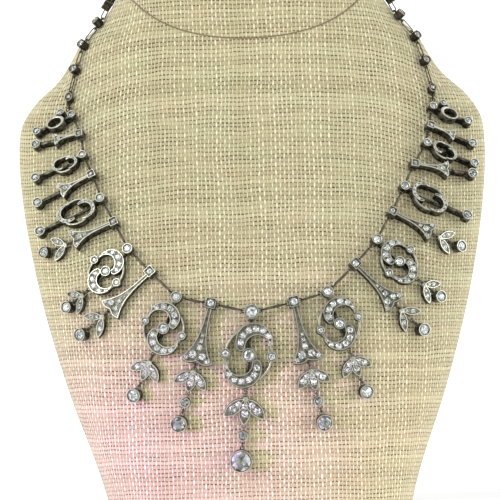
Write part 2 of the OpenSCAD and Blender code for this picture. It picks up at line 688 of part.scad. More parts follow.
neck_bust();
for (i = [0 : len(PENDANTS) - 1])
    pendant(i);
for (p = PENDANTS) if (RANKS[p[RANK]][LEAVES] > 0) {
    leaf_spray(p);
    drop(p);
}
for (p = PENDANTS) if (RANKS[p[RANK]][LINK_R] > 0)
    link_collet(p);
neckline_bars();
jump_rings();
chain(-1);  // chain_left
chain(1);  // chain_right
clasp();
head_stones();
motif_stones();
end_stones();
chain_stones();
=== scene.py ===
import math

import bmesh
import bpy
import numpy as np
from mathutils import Matrix, Vector
from mathutils.geometry import delaunay_2d_cdt


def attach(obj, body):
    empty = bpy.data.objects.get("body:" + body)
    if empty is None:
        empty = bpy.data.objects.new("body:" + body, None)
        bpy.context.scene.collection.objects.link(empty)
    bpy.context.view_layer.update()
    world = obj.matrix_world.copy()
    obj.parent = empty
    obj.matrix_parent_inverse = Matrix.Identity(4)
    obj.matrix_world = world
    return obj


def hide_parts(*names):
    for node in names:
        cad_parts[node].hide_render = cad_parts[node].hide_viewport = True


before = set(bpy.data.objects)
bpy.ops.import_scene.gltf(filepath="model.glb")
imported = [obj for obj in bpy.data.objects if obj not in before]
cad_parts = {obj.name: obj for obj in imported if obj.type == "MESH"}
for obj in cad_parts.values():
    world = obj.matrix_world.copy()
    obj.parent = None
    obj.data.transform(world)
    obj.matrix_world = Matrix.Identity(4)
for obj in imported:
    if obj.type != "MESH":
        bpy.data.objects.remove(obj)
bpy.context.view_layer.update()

# The camera
# The picture was taken straight on, from far enough away that nothing is foreshortened, and the camera
# was held a little off level, so the bust leans to the left at its top.
MM = 0.001
PICTURE_WIDTH = 180.0
PICTURE_MIDDLE = (-1.7, -50.0, 111.6)
CAMERA_AWAY = 8000.0
CAMERA_ROLL = math.radians(1.5)
SENSOR = 36.0

scene = bpy.context.scene
camera = bpy.data.objects.new("camera", bpy.data.cameras.new("camera"))
scene.collection.objects.link(camera)
camera.data.sensor_width = SENSOR
camera.data.lens = SENSOR * CAMERA_AWAY / PICTURE_WIDTH
camera.data.clip_end = 2.5 * CAMERA_AWAY * MM
roll_cos, roll_sin = math.cos(CAMERA_ROLL), math.sin(CAMERA_ROLL)
camera.matrix_world = Matrix((
    (roll_cos, roll_sin, 0, PICTURE_MIDDLE[0] * MM),
    (0, 0, -1, (PICTURE_MIDDLE[1] - CAMERA_AWAY) * MM),
    (-roll_sin, roll_cos, 0, PICTURE_MIDDLE[2] * MM),
    (0, 0, 0, 1)))
scene.camera = camera
scene.view_settings.view_transform = "Standard"


# The neck bust
# A stiff moulded form without head or arms, with one piece of open plain-weave burlap pulled over it,
# glued down, turned in under the base and over the top of the neck.
BUST_HEIGHT = 235.0
BUST_POWER = 2.5
BUST_EDGE = 3.0
BUST_LEVELS = 90
NECK_LEVELS = 18
BUST_TURNS = 240
SEAM_FRONT = 188.3
SEAM_BACK = 217.0
SEAM_BOW = 0.0066
SEAM_WIDTH_LEVEL = 195.0
NECK_INSET = 0.3
THREAD = 1.5
SHARP = 38.0
# The cloth's level threads dip towards the sides above the chest: by this much at DIP_X from the middle
CLOTH_DIP = 7.0
DIP_X = 60.0
DIP_MOST = 1.6
DIP_FROM = 80.0
DIP_OVER = 60.0
# On the neck the threads start elsewhere, because it is covered by a strip of its own
NECK_THREADS = (0.4, 0.3)
# level, half width, the widest line's Y, depth in front of it, depth behind it
SECTIONS = np.array([
    (0, 50, -8, 37, 50),
    (30, 57.5, -11, 39, 56),
    (60, 67.8, -15, 39, 64),
    (90, 76.2, -15, 36.5, 70),
    (115, 81.2, -13.5, 29.5, 71),
    (135, 83.8, -6, 26, 66),
    (150, 84.3, 0.5, 24, 62),
    (159, 82.9, 5, 23.5, 59),
    (167, 77.5, 8.5, 23, 57.5),
    (174, 69.8, 11, 22.5, 57),
    (181, 65, 13, 22.5, 56.5),
    (188, 61, 15.5, 23, 55.5),
    (195, 54, 17.5, 24, 54.5),
    (203, 48.3, 19.5, 25.5, 53),
    (215, 46, 21.5, 27, 51.5),
    (BUST_HEIGHT, 45.5, 23, 28.5, 50)])


def section(z):
    """Half width, widest line, depth in front and depth behind at a level."""
    last = len(SECTIONS) - 1
    i = int(np.clip(np.searchsorted(SECTIONS[:, 0], z, side="right") - 1, 0, last - 1))

    def slope(k):
        before, after = SECTIONS[max(k - 1, 0)], SECTIONS[min(k + 1, last)]
        return (after - before) / (after[0] - before[0])

    a, b = SECTIONS[i], SECTIONS[i + 1]
    h = b[0] - a[0]
    s = (z - a[0]) / h
    row = (a * (1 + 2 * s) * (1 - s) ** 2 + h * slope(i) * s * (1 - s) ** 2
           + b * s * s * (3 - 2 * s) + h * slope(i + 1) * s * s * (s - 1))
    return row[1:]


def unit(v):
    return v / np.linalg.norm(v)


def bent(v):
    return math.copysign(abs(v) ** (2 / BUST_POWER), v)


def skin(turn, z):
    """A point of the bust, turned so many degrees round from the front."""
    half, widest, front, back = section(z)
    c, s = math.cos(math.radians(turn)), math.sin(math.radians(turn))
    return np.array([half * bent(s), widest - (front if c > 0 else back) * bent(c), z])


def outward(turn, z):
    return unit(np.cross(skin(turn + 1, z) - skin(turn - 1, z), skin(turn, z + 1) - skin(turn, z - 1)))


def seam_level(turn):
    """The level of the seam between neck and body, lowest at the front and highest at the back."""
    x = skin(turn, SEAM_WIDTH_LEVEL)[0]
    front = SEAM_FRONT + SEAM_BOW * x * x
    if abs(turn) <= 90:
        return front
    share = (1 - math.cos(math.radians(2 * (abs(turn) - 90)))) / 2
    side = SEAM_FRONT + SEAM_BOW * skin(90, SEAM_WIDTH_LEVEL)[0] ** 2
    return side + (SEAM_BACK - side) * share


def made(name, points, faces, material, stands_for=(), wear_and_painted_light=None, sharp=SHARP, threads=None):
    """A finished piece from points in millimetres, smooth between its sharp edges, that rides on the bust."""
    mesh = bpy.data.meshes.new(name)
    mesh.from_pydata((np.asarray(points) * MM).tolist(), [], faces)
    # one attribute holds the silver's rubbed wear, the stones' painted facet light and the burlap groove's
    # painted shade
    if wear_and_painted_light is not None:
        mesh.attributes.new("wear_and_painted_light", "FLOAT", "POINT").data.foreach_set("value", np.asarray(wear_and_painted_light, np.float32))
    if threads is None:
        shell = bmesh.new()
        shell.from_mesh(mesh)
        bmesh.ops.recalc_face_normals(shell, faces=shell.faces)
        shell.to_mesh(mesh)
        shell.free()
    else:
        mesh.uv_layers.new(name="threads").data.foreach_set("uv", np.array(threads).ravel())
    mesh.shade_smooth()
    mesh.set_sharp_from_angle(angle=math.radians(sharp))
    mesh.materials.append(material)
    piece = bpy.data.objects.new(name, mesh)
    scene.collection.objects.link(piece)
    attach(piece, "root")
    if stands_for:
        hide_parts(*stands_for)
    return piece


class Recipe:
    """A material's nodes, so that sums on its values read as sums."""

    def __init__(self, name):
        self.material = bpy.data.materials.new(name)
        self.material.use_nodes = True
        self.nodes = self.material.node_tree.nodes
        self.links = self.material.node_tree.links
        self.shader = self.nodes["Principled BSDF"]

    def put(self, kind, inputs=(), **settings):
        node = self.nodes.new(kind)
        for key, value in settings.items():
            setattr(node, key, value)
        for key, value in dict(inputs).items():
            if isinstance(value, bpy.types.NodeSocket):
                self.links.new(value, node.inputs[key])
            else:
                node.inputs[key].default_value = value
        return node

    def math(self, operation, a, b=0.0):
        return self.put("ShaderNodeMath", {0: a, 1: b}, operation=operation).outputs[0]

    def plus(self, a, b):
        return self.math("ADD", a, b)

    def times(self, a, b):
        return self.math("MULTIPLY", a, b)

    def noise(self, place, scale, detail, stretch=(1, 1, 1)):
        """A cloud's value and colour, finer along the axes that are stretched more."""
        at = self.put("ShaderNodeMapping", {"Vector": place, "Scale": stretch}).outputs[0]
        return self.put("ShaderNodeTexNoise", {"Vector": at, "Scale": scale, "Detail": detail}).outputs

    def ramp(self, value, stops):
        node = self.put("ShaderNodeValToRGB", {0: value})
        while len(node.color_ramp.elements) < len(stops):
            node.color_ramp.elements.new(1.0)
        for element, (at, colour) in zip(node.color_ramp.elements, stops):
            element.position = at
            element.color = (*colour, 1)
        return node.outputs[0]

    def between(self, value, low, high):
        return self.put("ShaderNodeMapRange", {0: value, 3: low, 4: high}).outputs[0]

    def mix(self, share, a, b, blend="MIX"):
        a, b = [v if isinstance(v, bpy.types.NodeSocket) else (*v, 1) for v in (a, b)]
        return self.put("ShaderNodeMix", {0: share, 6: a, 7: b}, data_type="RGBA",
                        blend_type=blend).outputs[2]


# The weave, in threads: how far threads wander slowly and in short waves, and half the width of loose and
# tight level threads and of thin and thick upright ones
WANDER, SHAKE = 1.2, 0.4
WEFT_HALF, WEFT_UNEVEN = (0.5, 0.37), 0.22
WARP_HALF, WARP_UNEVEN = (0.15, 0.21), 0.16
WEFT_SEED = 77.5
EVEN_START = 4000.0
WARP_TINTS = [(0.0, (0.55, 0.52, 0.35)), (0.5, (0.64, 0.62, 0.44)), (1.0, (0.73, 0.71, 0.53))]
WEFT_TINTS = [(0.0, (0.365, 0.33, 0.203)), (0.6, (0.42, 0.385, 0.243)), (1.0, (0.475, 0.44, 0.285))]
PATCHES = [(0.3, (0.95, 0.97, 0.93)), (0.5, (0.97, 0.96, 0.94)), (0.7, (0.99, 0.94, 0.92))]
# Painted shade: the low parts of the threads and the open holes between them are darkened by how deep they
# lie
THREAD_GAP_PAINTED_SHADE = [
    (0.0, (0.13, 0.11, 0.07)),
    (0.3, (0.4, 0.36, 0.27)),
    (0.62, (0.86, 0.84, 0.78)),
    (1.0, (1, 1, 1))]
FIBRE_TINT = (0.9, 0.88, 0.8)
# Painted shade along the seam's groove
GROOVE_PAINTED_SHADE = (0.2, 0.14, 0.08)


def burlap():
    """Threads in both directions that pass over and under each other, with open holes between them, and
    painted shade in the weave's low parts, its holes and the seam's groove.
    """
    r = Recipe("burlap")
    place = r.put("ShaderNodeUVMap", uv_map="threads").outputs[0]
    # the seam groove's share of painted shade, kept in the same attribute as the silver's wear
    hollow = r.put("ShaderNodeAttribute", attribute_name="wear_and_painted_light").outputs["Fac"]
    at = r.put("ShaderNodeSeparateXYZ", {0: place}).outputs
    wander, shake = [r.put("ShaderNodeSeparateColor", {0: r.noise(place, scale, 1.0)["Color"]}).outputs
                     for scale in (0.07, 0.5)]
    across, along = [r.plus(at[k], r.plus(r.times(wander[k], WANDER), r.times(shake[k], SHAKE)))
                     for k in (0, 1)]
    warp_number, weft_number = r.math("FLOOR", across), r.math("FLOOR", along)
    warp_side, weft_side = [r.math("SUBTRACT", r.math("FRACT", v), 0.5) for v in (across, along)]
    warp_luck, weft_luck = [
        r.put("ShaderNodeTexWhiteNoise", {"W": number}, noise_dimensions="1D").outputs["Value"]
        for number in (warp_number, r.plus(weft_number, WEFT_SEED))]
    odd = r.math("MODULO", r.plus(r.plus(warp_number, weft_number), EVEN_START), 2.0)
    over = r.math("SUBTRACT", r.times(odd, 2.0), 1.0)

    def thread(side, half, other_side, sign):
        """How high a thread stands at a point, and well below zero beside it."""
        bow = r.math("SUBTRACT", 1.0, r.math("POWER", r.math("ABSOLUTE", r.math("DIVIDE", side, half)), 2.0))
        wave = r.times(r.times(over, sign), r.math("COSINE", r.times(other_side, math.pi)))
        height = r.plus(r.times(wave, 0.5), r.times(bow, 0.5))
        return r.plus(height, r.times(r.math("LESS_THAN", bow, 0.0), -4.0))

    loose, tight = WEFT_HALF
    weft_half = r.put("ShaderNodeMapRange", {
        0: r.noise(place, 0.2, 3.0, (0.55, 1.5, 1))[0], 1: 0.3, 2: 0.7, 3: loose, 4: tight}).outputs[0]
    weft_slubs = r.math("SUBTRACT", r.noise(place, 0.9, 1.0, (0.5, 1, 1))[0], 0.5)
    warp_slubs = r.math("SUBTRACT", r.noise(place, 0.8, 1.0, (1, 0.4, 1))[0], 0.5)
    weft_half = r.plus(weft_half, r.times(weft_slubs, WEFT_UNEVEN))
    warp_half = r.plus(r.between(warp_luck, *WARP_HALF), r.times(warp_slubs, WARP_UNEVEN))
    warp = thread(warp_side, warp_half, weft_side, 1.0)
    weft = thread(weft_side, weft_half, warp_side, -1.0)
    top = r.math("MAXIMUM", r.math("MAXIMUM", warp, weft), -1.0)
    on_warp = r.math("GREATER_THAN", warp, weft)
    fibres = [r.noise(place, 1.0, 3.0, stretch)[0] for stretch in ((1.6, 9, 1), (9, 1.6, 1))]
    fibre = r.put("ShaderNodeMix", {0: on_warp, 2: fibres[0], 3: fibres[1]}).outputs[0]
    tint = r.mix(on_warp, r.ramp(weft_luck, WEFT_TINTS), r.ramp(warp_luck, WARP_TINTS))
    tint = r.mix(1.0, tint, r.ramp(r.noise(place, 0.13, 2.0, (0.5, 1.3, 1))[0], PATCHES), "MULTIPLY")
    tint = r.mix(r.between(fibre, 0.0, 0.8), tint, FIBRE_TINT, "SOFT_LIGHT")
    # painted shade by depth in the weave
    depth = r.put("ShaderNodeMapRange", {0: top, 1: -1.0, 2: 0.9}).outputs[0]
    tint = r.mix(1.0, tint, r.ramp(depth, THREAD_GAP_PAINTED_SHADE), "MULTIPLY")
    # painted shade darkens the seam's groove
    r.links.new(r.mix(hollow, tint, GROOVE_PAINTED_SHADE), r.shader.inputs["Base Color"])
    height = r.plus(r.times(top, 0.5), r.times(fibre, 0.25))
    bump = r.put("ShaderNodeBump", {"Height": height, "Strength": 0.7, "Distance": 0.0004})
    r.links.new(bump.outputs[0], r.shader.inputs["Normal"])
    r.shader.inputs["Roughness"].default_value = 0.92
    r.shader.inputs["Specular IOR Level"].default_value = 0.2
    r.shader.inputs["Sheen Weight"].default_value = 0.15
    r.shader.inputs["Sheen Roughness"].default_value = 0.6
    return r.material


def bust():
    """The skin in rows from base to top, with a sewn groove where the neck's cloth meets the body's, and a
    share of painted shade in the groove.
    """
    rounding = [(BUST_EDGE * (1 - math.sin(a)), BUST_EDGE * (1 - math.cos(a)))
                for a in np.radians(np.linspace(0, 90, 6))]
    # inset, how far up to the seam or past it, step from the seam, and how much painted shade the groove gets
    body = [(0, share, -1.0, 0) for share in np.linspace(0, 1, BUST_LEVELS)]
    groove = [
        (0.05, 1, -0.65, 0),
        (0.12, 1, -0.35, 0.1),
        (0.7, 1, -0.08, 1),
        (0.7, 1, 0.08, 1),
        (0.4, 1, 0.3, 0.1)]
    neck = [(NECK_INSET, 1 + share, 0.7, 0) for share in np.linspace(0, 1, NECK_LEVELS)]
    middle = body + groove + neck
    turns = np.linspace(-180, 180, BUST_TURNS + 1)
    seams = [seam_level(turn) for turn in turns]
    low, high = BUST_EDGE, BUST_HEIGHT - BUST_EDGE
    rows, hollow = [], []

    def lay(levels, inset, depth):
        row = np.array([skin(turn, z) for turn, z in zip(turns, levels)])
        away = row - np.array([(0, section(z)[1], z) for z in levels])
        rows.append(row - away * (inset / np.linalg.norm(away, axis=1))[:, None])
        hollow.append(depth)

    for inset, z in rounding[:-1]:
        lay([z] * len(turns), inset, 0)
    for inset, share, step, depth in middle:
        lay([low + (seam + step - low) * share if share <= 1 else
             seam + step + (high - seam - step) * (share - 1) for seam in seams], inset, depth)
    for inset, z in rounding[::-1][1:]:
        lay([BUST_HEIGHT - z] * len(turns), inset + NECK_INSET, 0)
    rows = np.array(rows)
    front = BUST_TURNS // 2
    steps = np.linalg.norm(np.diff(rows, axis=1), axis=2)
    along = np.concatenate([np.zeros((len(rows), 1)), np.cumsum(steps, axis=1)], axis=1)
    threads_round = (along - along[:, front:front + 1]) / THREAD
    dip = np.minimum((rows[:, :, 0] / DIP_X) ** 4, DIP_MOST)
    dip *= np.clip((rows[:, :, 2] - DIP_FROM) / DIP_OVER, 0, 1)
    threads_up = (rows[:, :, 2] + CLOTH_DIP * dip) / THREAD
    points = rows[:, :-1].reshape(-1, 3)
    on_neck = len(rounding) - 1 + len(body) + len(groove) // 2
    faces, threads = [], []
    for i in range(len(rows) - 1):
        offset = NECK_THREADS if i >= on_neck else (0, 0)
        for j in range(BUST_TURNS):
            k = (j + 1) % BUST_TURNS
            here, above = i * BUST_TURNS, (i + 1) * BUST_TURNS
            faces.append((here + j, here + k, above + k, above + j))
            threads += [(threads_round[a, b] + offset[0], threads_up[a, b] + offset[1])
                        for a, b in ((i, j), (i, j + 1), (i + 1, j + 1), (i + 1, j))]
    for i, order in ((0, -1), (len(rows) - 1, 1)):
        faces.append(tuple(i * BUST_TURNS + j for j in range(BUST_TURNS))[::order])
        threads += [(rows[i, j, 0] / THREAD, rows[i, j, 1] / THREAD) for j in range(BUST_TURNS)][::order]
    made("burlap_bust", points, faces, burlap(), ("neck_bust",),
         np.repeat(hollow, BUST_TURNS), 60.0, threads)


bust()


# Where the pendants lie
# Twenty-one rigid frames of cast and pierced silver hang side by side from the neckline. The front of each
# head collet is where the photo shows it, and each frame rests on the burlap at its middle.
LIFT = 0.3
HEAD_DEPTH = 4.2
SMALL_DEPTH = 3.2
END_DEPTH = 3.8
PLATE = 2.6
OUTER_PLATE = 3.6
BAR_W = 1.1
EYE_R = 0.72
WIRE_R = 0.22
HOOK = WIRE_R + 0.08
EYE_REACH = EYE_R - WIRE_R + 0.05
EYE_CROSS = EYE_REACH + EYE_R - HOOK
EYE_LEVEL = 1.3
BAR_LEVEL = 1.4
RING_SPAN = 1.25
NECKLINE_R = 0.5
# name: turn (-1 mirrors its motif), rank, X and Z of the head's front, hang from straight down
PENDANTS = {
    "l10": (-1, 10, -65.2, 162.6, -67),
    "l9": (1, 9, -62.6, 155.7, -78),
    "l8": (1, 8, -61.6, 147.9, -66),
    "l7": (1, 7, -58.5, 140.8, -64),
    "l6": (1, 6, -55.5, 132.1, -63),
    "l5": (1, 5, -50.9, 123.4, -68),
    "l4": (-1, 4, -46, 113.5, -47),
    "l3": (1, 3, -38.2, 105, -49),
    "l2": (-1, 2, -28.8, 95.5, -24.5),
    "l1": (1, 1, -16.4, 93, -16),
    "c": (1, 0, -1.7, 89.4, -5.5),
    "r1": (1, 1, 13.7, 92.8, 12.5),
    "r2": (1, 2, 26, 96, 19.5),
    "r3": (1, 3, 36.4, 106, 44),
    "r4": (1, 4, 44.3, 114.5, 46),
    "r5": (1, 5, 50.2, 124.6, 61.5),
    "r6": (1, 6, 55, 133.6, 64),
    "r7": (1, 7, 58.9, 141.7, 79),
    "r8": (1, 8, 63.5, 149, 66),
    "r9": (1, 9, 65.1, 155.4, 66),
    "r10": (1, 10, 66.1, 162.3, 67)}
NAMES = list(PENDANTS)


class Rank:
    """The sizes of one rank, from the middle of its head down."""

    def __init__(self, number, head_r, motif, down, long, wide, mid_r, side_r, leaves, leaf_l, leaf_w, stem,
                 link_r, reach, end_r):
        self.number, self.head_r, self.motif = number, head_r, motif
        self.down, self.long, self.wide = down, long, wide
        self.plate = PLATE if number < 5 else OUTER_PLATE
        self.mid_r, self.side_r = mid_r, side_r
        self.leaves, self.leaf_l, self.leaf_w, self.stem = leaves, leaf_l, leaf_w, stem
        self.link_r, self.reach, self.end_r = link_r, reach, end_r
        self.motif_end = down if motif == "fishtail" else down + long
        self.frame_end = self.motif_end if leaves else reach
        self.spray_l = leaf_l if leaves == 3 else stem


RANKS = [
    Rank(0, 2.7, "scroll", 15.6, 11.9, 8.4, 2.5, 1.85, 3, 10.2, 4.4, 0, 1.85, 0, 4.1),
    Rank(1, 1.9, "fishtail", 21.6, 21.6, 5.75, 0, 0, 3, 8.2, 3.9, 0, 1.85, 0, 3),
    Rank(2, 2.05, "scroll", 12.2, 9.4, 7.3, 2.1, 1.5, 3, 7.9, 3.6, 0, 0, 0, 2.6),
    Rank(3, 1.7, "fishtail", 19.8, 19.8, 4.7, 0, 0, 2, 8, 3, 5.8, 0, 0, 2.4),
    Rank(4, 1.9, "scroll", 11.4, 8.5, 6.2, 1.9, 1.5, 2, 7.2, 2.9, 2.6, 0, 0, 2.2),
    Rank(5, 1.6, "fishtail", 15.8, 15.8, 3.9, 0, 0, 2, 7, 2.8, 3.8, 0, 0, 2.15),
    Rank(6, 1.8, "oval", 10, 7.1, 5.3, 0, 0, 0, 0, 0, 0, 0, 25, 1.95),
    Rank(7, 1.45, "fishtail", 12.6, 12.6, 3.3, 0, 0, 0, 0, 0, 0, 0, 22.2, 1.9),
    Rank(8, 1.55, "oval", 7.3, 4.8, 3.5, 0, 0, 0, 0, 0, 0, 0, 19.1, 1.75),
    Rank(9, 1.35, "fishtail", 9.4, 9.4, 2.5, 0, 0, 0, 0, 0, 0, 0, 16.8, 1.7),
    Rank(10, 1.5, "ringlet", 6.6, 3.5, 2.5, 0, 1.3, 0, 0, 0, 0, 0, 14.1, 1.65)]


class Place:
    """Where a piece lies: its start, the way down it, and the way out of the bust."""

    def __init__(self, start, down, out):
        self.start, self.down, self.out = start, down, out
        self.side = np.cross(-down, out)

    def raised(self, x, y, z):
        return self.start + self.side * x - self.down * y + self.out * z

    def frame(self, turn=1):
        return self.start, self.side * turn, -self.down, self.out


def turn_at(x, z):
    share = min(1.0, (abs(x) / section(z)[0]) ** (BUST_POWER / 2))
    return math.copysign(math.degrees(math.asin(share)), x)


def lie(face_x, face_z, hang, length):
    """A frame whose head shows at X and Z and whose middle rests on the bust."""
    s, c = math.sin(math.radians(hang)), math.cos(math.radians(hang))
    mid_x, mid_z = face_x + s * length / 2, face_z - c * length / 2
    turn = turn_at(mid_x, mid_z)
    n = outward(turn, mid_z)
    rest = skin(turn, mid_z) + LIFT * n
    x, z = face_x - HEAD_DEPTH * n[0], face_z - HEAD_DEPTH * n[2]
    y = rest[1] - (n[0] * (x - rest[0]) + n[2] * (z - rest[2])) / n[1]
    return Place(np.array([x, y, z]), unit(np.array([s, (n[2] * c - n[0] * s) / n[1], -c])), n)


def rank_of(name):
    return RANKS[PENDANTS[name][1]]


def frame_place(name):
    _, _, x, z, hang = PENDANTS[name]
    return lie(x, z, hang, rank_of(name).frame_end)


# The head collets
# Each pendant begins with a collet on the neckline: a tapered tube of silver with a rim pressed over its
# stone, round on the scrolls and square on the fishtails. Years of wear keep the rims bright.
RIM = 0.4
TAPER = 0.95
GIRDLE = 0.15
GIRDLE_DROP = 0.3
STONE_GAP = 0.12
PAVILION = 0.75


class Work:
    """What is on the bench: points in millimetres, faces, and how bright each point is rubbed, or on stones
    how much painted light each facet gets.
    """

    def __init__(self):
        self.points, self.faces, self.wear_and_painted_light = [], [], []

    def add(self, points, faces, wear_and_painted_light, at=None):
        first = len(self.points)
        for x, y, z in points:
            self.points.append((x, y, z) if at is None else at[0] + at[1] * x + at[2] * y + at[3] * z)
        self.faces += [tuple(first + k for k in face) for face in faces]
        self.wear_and_painted_light += list(np.broadcast_to(wear_and_painted_light, len(points)))

    def finish(self, name, material, slot, *stands_for, sharp=SHARP):
        return made(name, self.points, self.faces, material, stands_for, self.wear_and_painted_light, sharp)


def silver(name, dark, mid, bright, rough):
    """Old silver: tarnish in the hollows, rubbed bright on the edges, with fine scratches and pits."""
    r = Recipe(name)
    place = r.put("ShaderNodeTexCoord").outputs["Object"]
    # on silver the attribute holds only rubbed wear: tarnish low, rubbed edges high
    wear_and_painted_light = r.put("ShaderNodeAttribute", attribute_name="wear_and_painted_light").outputs["Fac"]
    cloud = r.put("ShaderNodeTexNoise", {"Vector": place, "Scale": 700.0, "Detail": 4.0}).outputs[0]
    grain = r.put("ShaderNodeTexNoise", {"Vector": place, "Scale": 3500.0, "Detail": 3.0}).outputs[0]
    rubbed = r.plus(wear_and_painted_light, r.times(r.math("SUBTRACT", cloud, 0.5), 0.9))
    r.links.new(r.ramp(rubbed, [(0.05, dark), (0.5, mid), (1.0, bright)]), r.shader.inputs["Base Color"])
    r.links.new(r.between(rubbed, rough + 0.15, rough - 0.12), r.shader.inputs["Roughness"])
    height = r.plus(grain, r.times(cloud, 2.0))
    bump = r.put("ShaderNodeBump", {"Height": height, "Strength": 0.35, "Distance": 0.00006})
    r.links.new(bump.outputs[0], r.shader.inputs["Normal"])
    r.shader.inputs["Metallic"].default_value = 1.0
    return r.material


SILVER = silver("old_silver", (0.026, 0.022, 0.016), (0.335, 0.33, 0.26), (0.67, 0.67, 0.58), 0.47)
DARK_SILVER = silver("oxidised_silver", (0.028, 0.024, 0.018), (0.14, 0.12, 0.09), (0.42, 0.39, 0.32), 0.4)


def seat_depth(r):
    return GIRDLE_DROP + GIRDLE + PAVILION * (r - RIM - STONE_GAP) + STONE_GAP


def turned(work, profile, x=0.0, y=0.0, sides=32, at=None):
    """A turned shape from rows of radius, height, wear and squareness, closed at both ends."""
    points, wear_and_painted_light, faces = [], [], []
    for radius, z, shine, square in profile:
        for k in range(sides):
            a = 2 * math.pi * (k + 0.5) / sides
            c, s = math.cos(a), math.sin(a)
            stretch = 1.0
            if square:
                stretch = (1 - square) + square / (abs(c) ** 12 + abs(s) ** 12) ** (1 / 12)
            points.append((x + radius * stretch * c, y + radius * stretch * s, z))
            wear_and_painted_light.append(shine)
    for i in range(len(profile) - 1):
        for k in range(sides):
            m = (k + 1) % sides
            faces.append((i * sides + k, i * sides + m, (i + 1) * sides + m, (i + 1) * sides + k))
    faces.append(tuple(range(sides))[::-1])
    faces.append(tuple((len(profile) - 1) * sides + k for k in range(sides)))
    work.add(points, faces, wear_and_painted_light, at)


def collet(work, x, y, r, depth, at, sides=32):
    hole = r - RIM
    turned(work, [
        (r * TAPER - 0.12, 0, 0.1, 0),
        (r * TAPER, 0.12, 0.12, 0),
        (r * 0.985, depth - 0.7, 0.15, 0),
        (r, depth - 0.3, 0.3, 0),
        (r, depth - 0.12, 0.75, 0),
        (r - 0.07, depth, 1.0, 0),
        (r - 0.2, depth, 1.0, 0),
        (hole + 0.08, depth - 0.1, 0.75, 0),
        (hole, depth - 0.22, 0.4, 0),
        (hole, depth - 0.45, 0.2, 0),
        (hole - 0.05, depth - 0.6, 1.0, 0),
        (0.15 * hole, depth - seat_depth(r), 1.0, 0)], x, y, sides, at)


def square_head(work, half, at):
    hole = half - RIM
    turned(work, [
        (half - 0.1, 0, 0.1, 1),
        (half, 0.1, 0.12, 1),
        (half, HEAD_DEPTH - 0.35, 0.2, 1),
        (half, HEAD_DEPTH - 0.1, 0.75, 1),
        (half - 0.06, HEAD_DEPTH, 1.0, 1),
        (half - 0.24, HEAD_DEPTH, 1.0, 1),
        (half - 0.28, HEAD_DEPTH - 0.25, 0.1, 0.9),
        (hole + 0.1, HEAD_DEPTH - 0.28, 0.1, 0.2),
        (hole + 0.04, HEAD_DEPTH - 0.16, 0.55, 0),
        (hole, HEAD_DEPTH - 0.18, 0.5, 0),
        (hole, HEAD_DEPTH - 0.45, 0.2, 0),
        (hole - 0.05, HEAD_DEPTH - 0.6, 1.0, 0),
        (0.15 * hole, HEAD_DEPTH - seat_depth(half), 1.0, 0)], 0, 0, 48, at)


# The scrolls
# Two pierced crescents curl round each other like two commas, so slim on the sixth and eighth ranks that
# they make an open oval. A row of small diamonds is sunk into each between raised edges, thin wires close
# the ring past the side collets, and a post behind holds it all.
RIDGE = 0.34
SLIM_RIDGE = 0.22
SUNK = 0.3
EDGE_ROUND = 0.08
FIELD_SLOPE = 0.12
OUTLINE_STEP = 0.34
FIELD_STEP = 0.5
ARM_WIDE = 0.727
WIRE_STEP = 0.4
WIRE_W = 0.75
WIRE_BOW = 0.8
POST, SLIM_POST = 0.7, 0.85
TUBE_SIDES = 10
# a small diamond's radius as a share of the arm's width, and the most and the least that it may be
ARM_STONE, SLIM_STONE = 0.35, 0.42
STONE_MOST, STONE_LEAST = 1.15, 0.36
# metal between two, height above the sunk field, and a slim arm's least width beside one
STONE_APART = 0.42
STONE_RISE = 0.2
SLIM_LEAST = 0.78
# the first one's middle from the arm's end, as a share of its width there, and a step on where none fits
FIRST_STONE = 0.36
STONE_SEARCH = 0.3
SMALL_GIRDLE, SMALL_PAVILION = 0.06, 0.12
BEAD_R = 0.17
BEAD_TURNS = (40, 140, 220, 320)
# eight shares of shine across a strip, from one foot over its top to the other
EDGE_SHINE = (0.1, 0.26, 0.72, 0.8, 0.8, 0.72, 0.26, 0.1)
WIRE_SHINE = (0.1, 0.28, 0.66, 0.6, 0.6, 0.66, 0.28, 0.1)
BAR_SHINE = (0.06, 0.06, 0.14, 0.18, 0.18, 0.14, 0.06, 0.06)


def resampled(outline, step):
    """The closed outline with points at even steps, and one at each sharp corner."""
    outline = np.asarray(outline, float)
    closed = np.vstack([outline, outline[:1]])
    lengths = np.concatenate([[0], np.cumsum(np.linalg.norm(np.diff(closed, axis=0), axis=1))])
    count = max(12, int(lengths[-1] / step))
    at = np.linspace(0, lengths[-1], count, endpoint=False)
    corners = [s for s, a, b, c in zip(lengths, np.roll(outline, 1, 0), outline, np.roll(outline, -1, 0))
               if np.dot(unit(b - a), unit(c - b)) < 0.5]
    for corner in corners:
        at[np.argmin(abs(at - corner))] = corner
    return np.stack([np.interp(at, lengths, closed[:, k]) for k in (0, 1)], axis=1)


def from_edge(points, outline):
    """How far each point is from the outline."""
    a, b = outline, np.roll(outline, -1, axis=0)
    way = b - a
    reach = np.maximum((way ** 2).sum(1), 1e-12)
    to = points[:, None] - a[None]
    share = np.clip((to * way[None]).sum(2) / reach[None], 0, 1)
    return np.linalg.norm(to - share[..., None] * way[None], axis=2).min(1)


def inside(points, outline):
    """Which points a line to the right leaves the outline from, an odd number of times."""
    a, b = outline, np.roll(outline, -1, axis=0)
    px, py = points[:, None, 0], points[:, None, 1]
    crosses = (a[None, :, 1] > py) != (b[None, :, 1] > py)
    rise = np.where(b[:, 1] == a[:, 1], 1e-12, b[:, 1] - a[:, 1])
    at_x = a[None, :, 0] + (py - a[None, :, 1]) * ((b[:, 0] - a[:, 0]) / rise)[None]
    return (crosses & (px < at_x)).sum(1) % 2 == 1


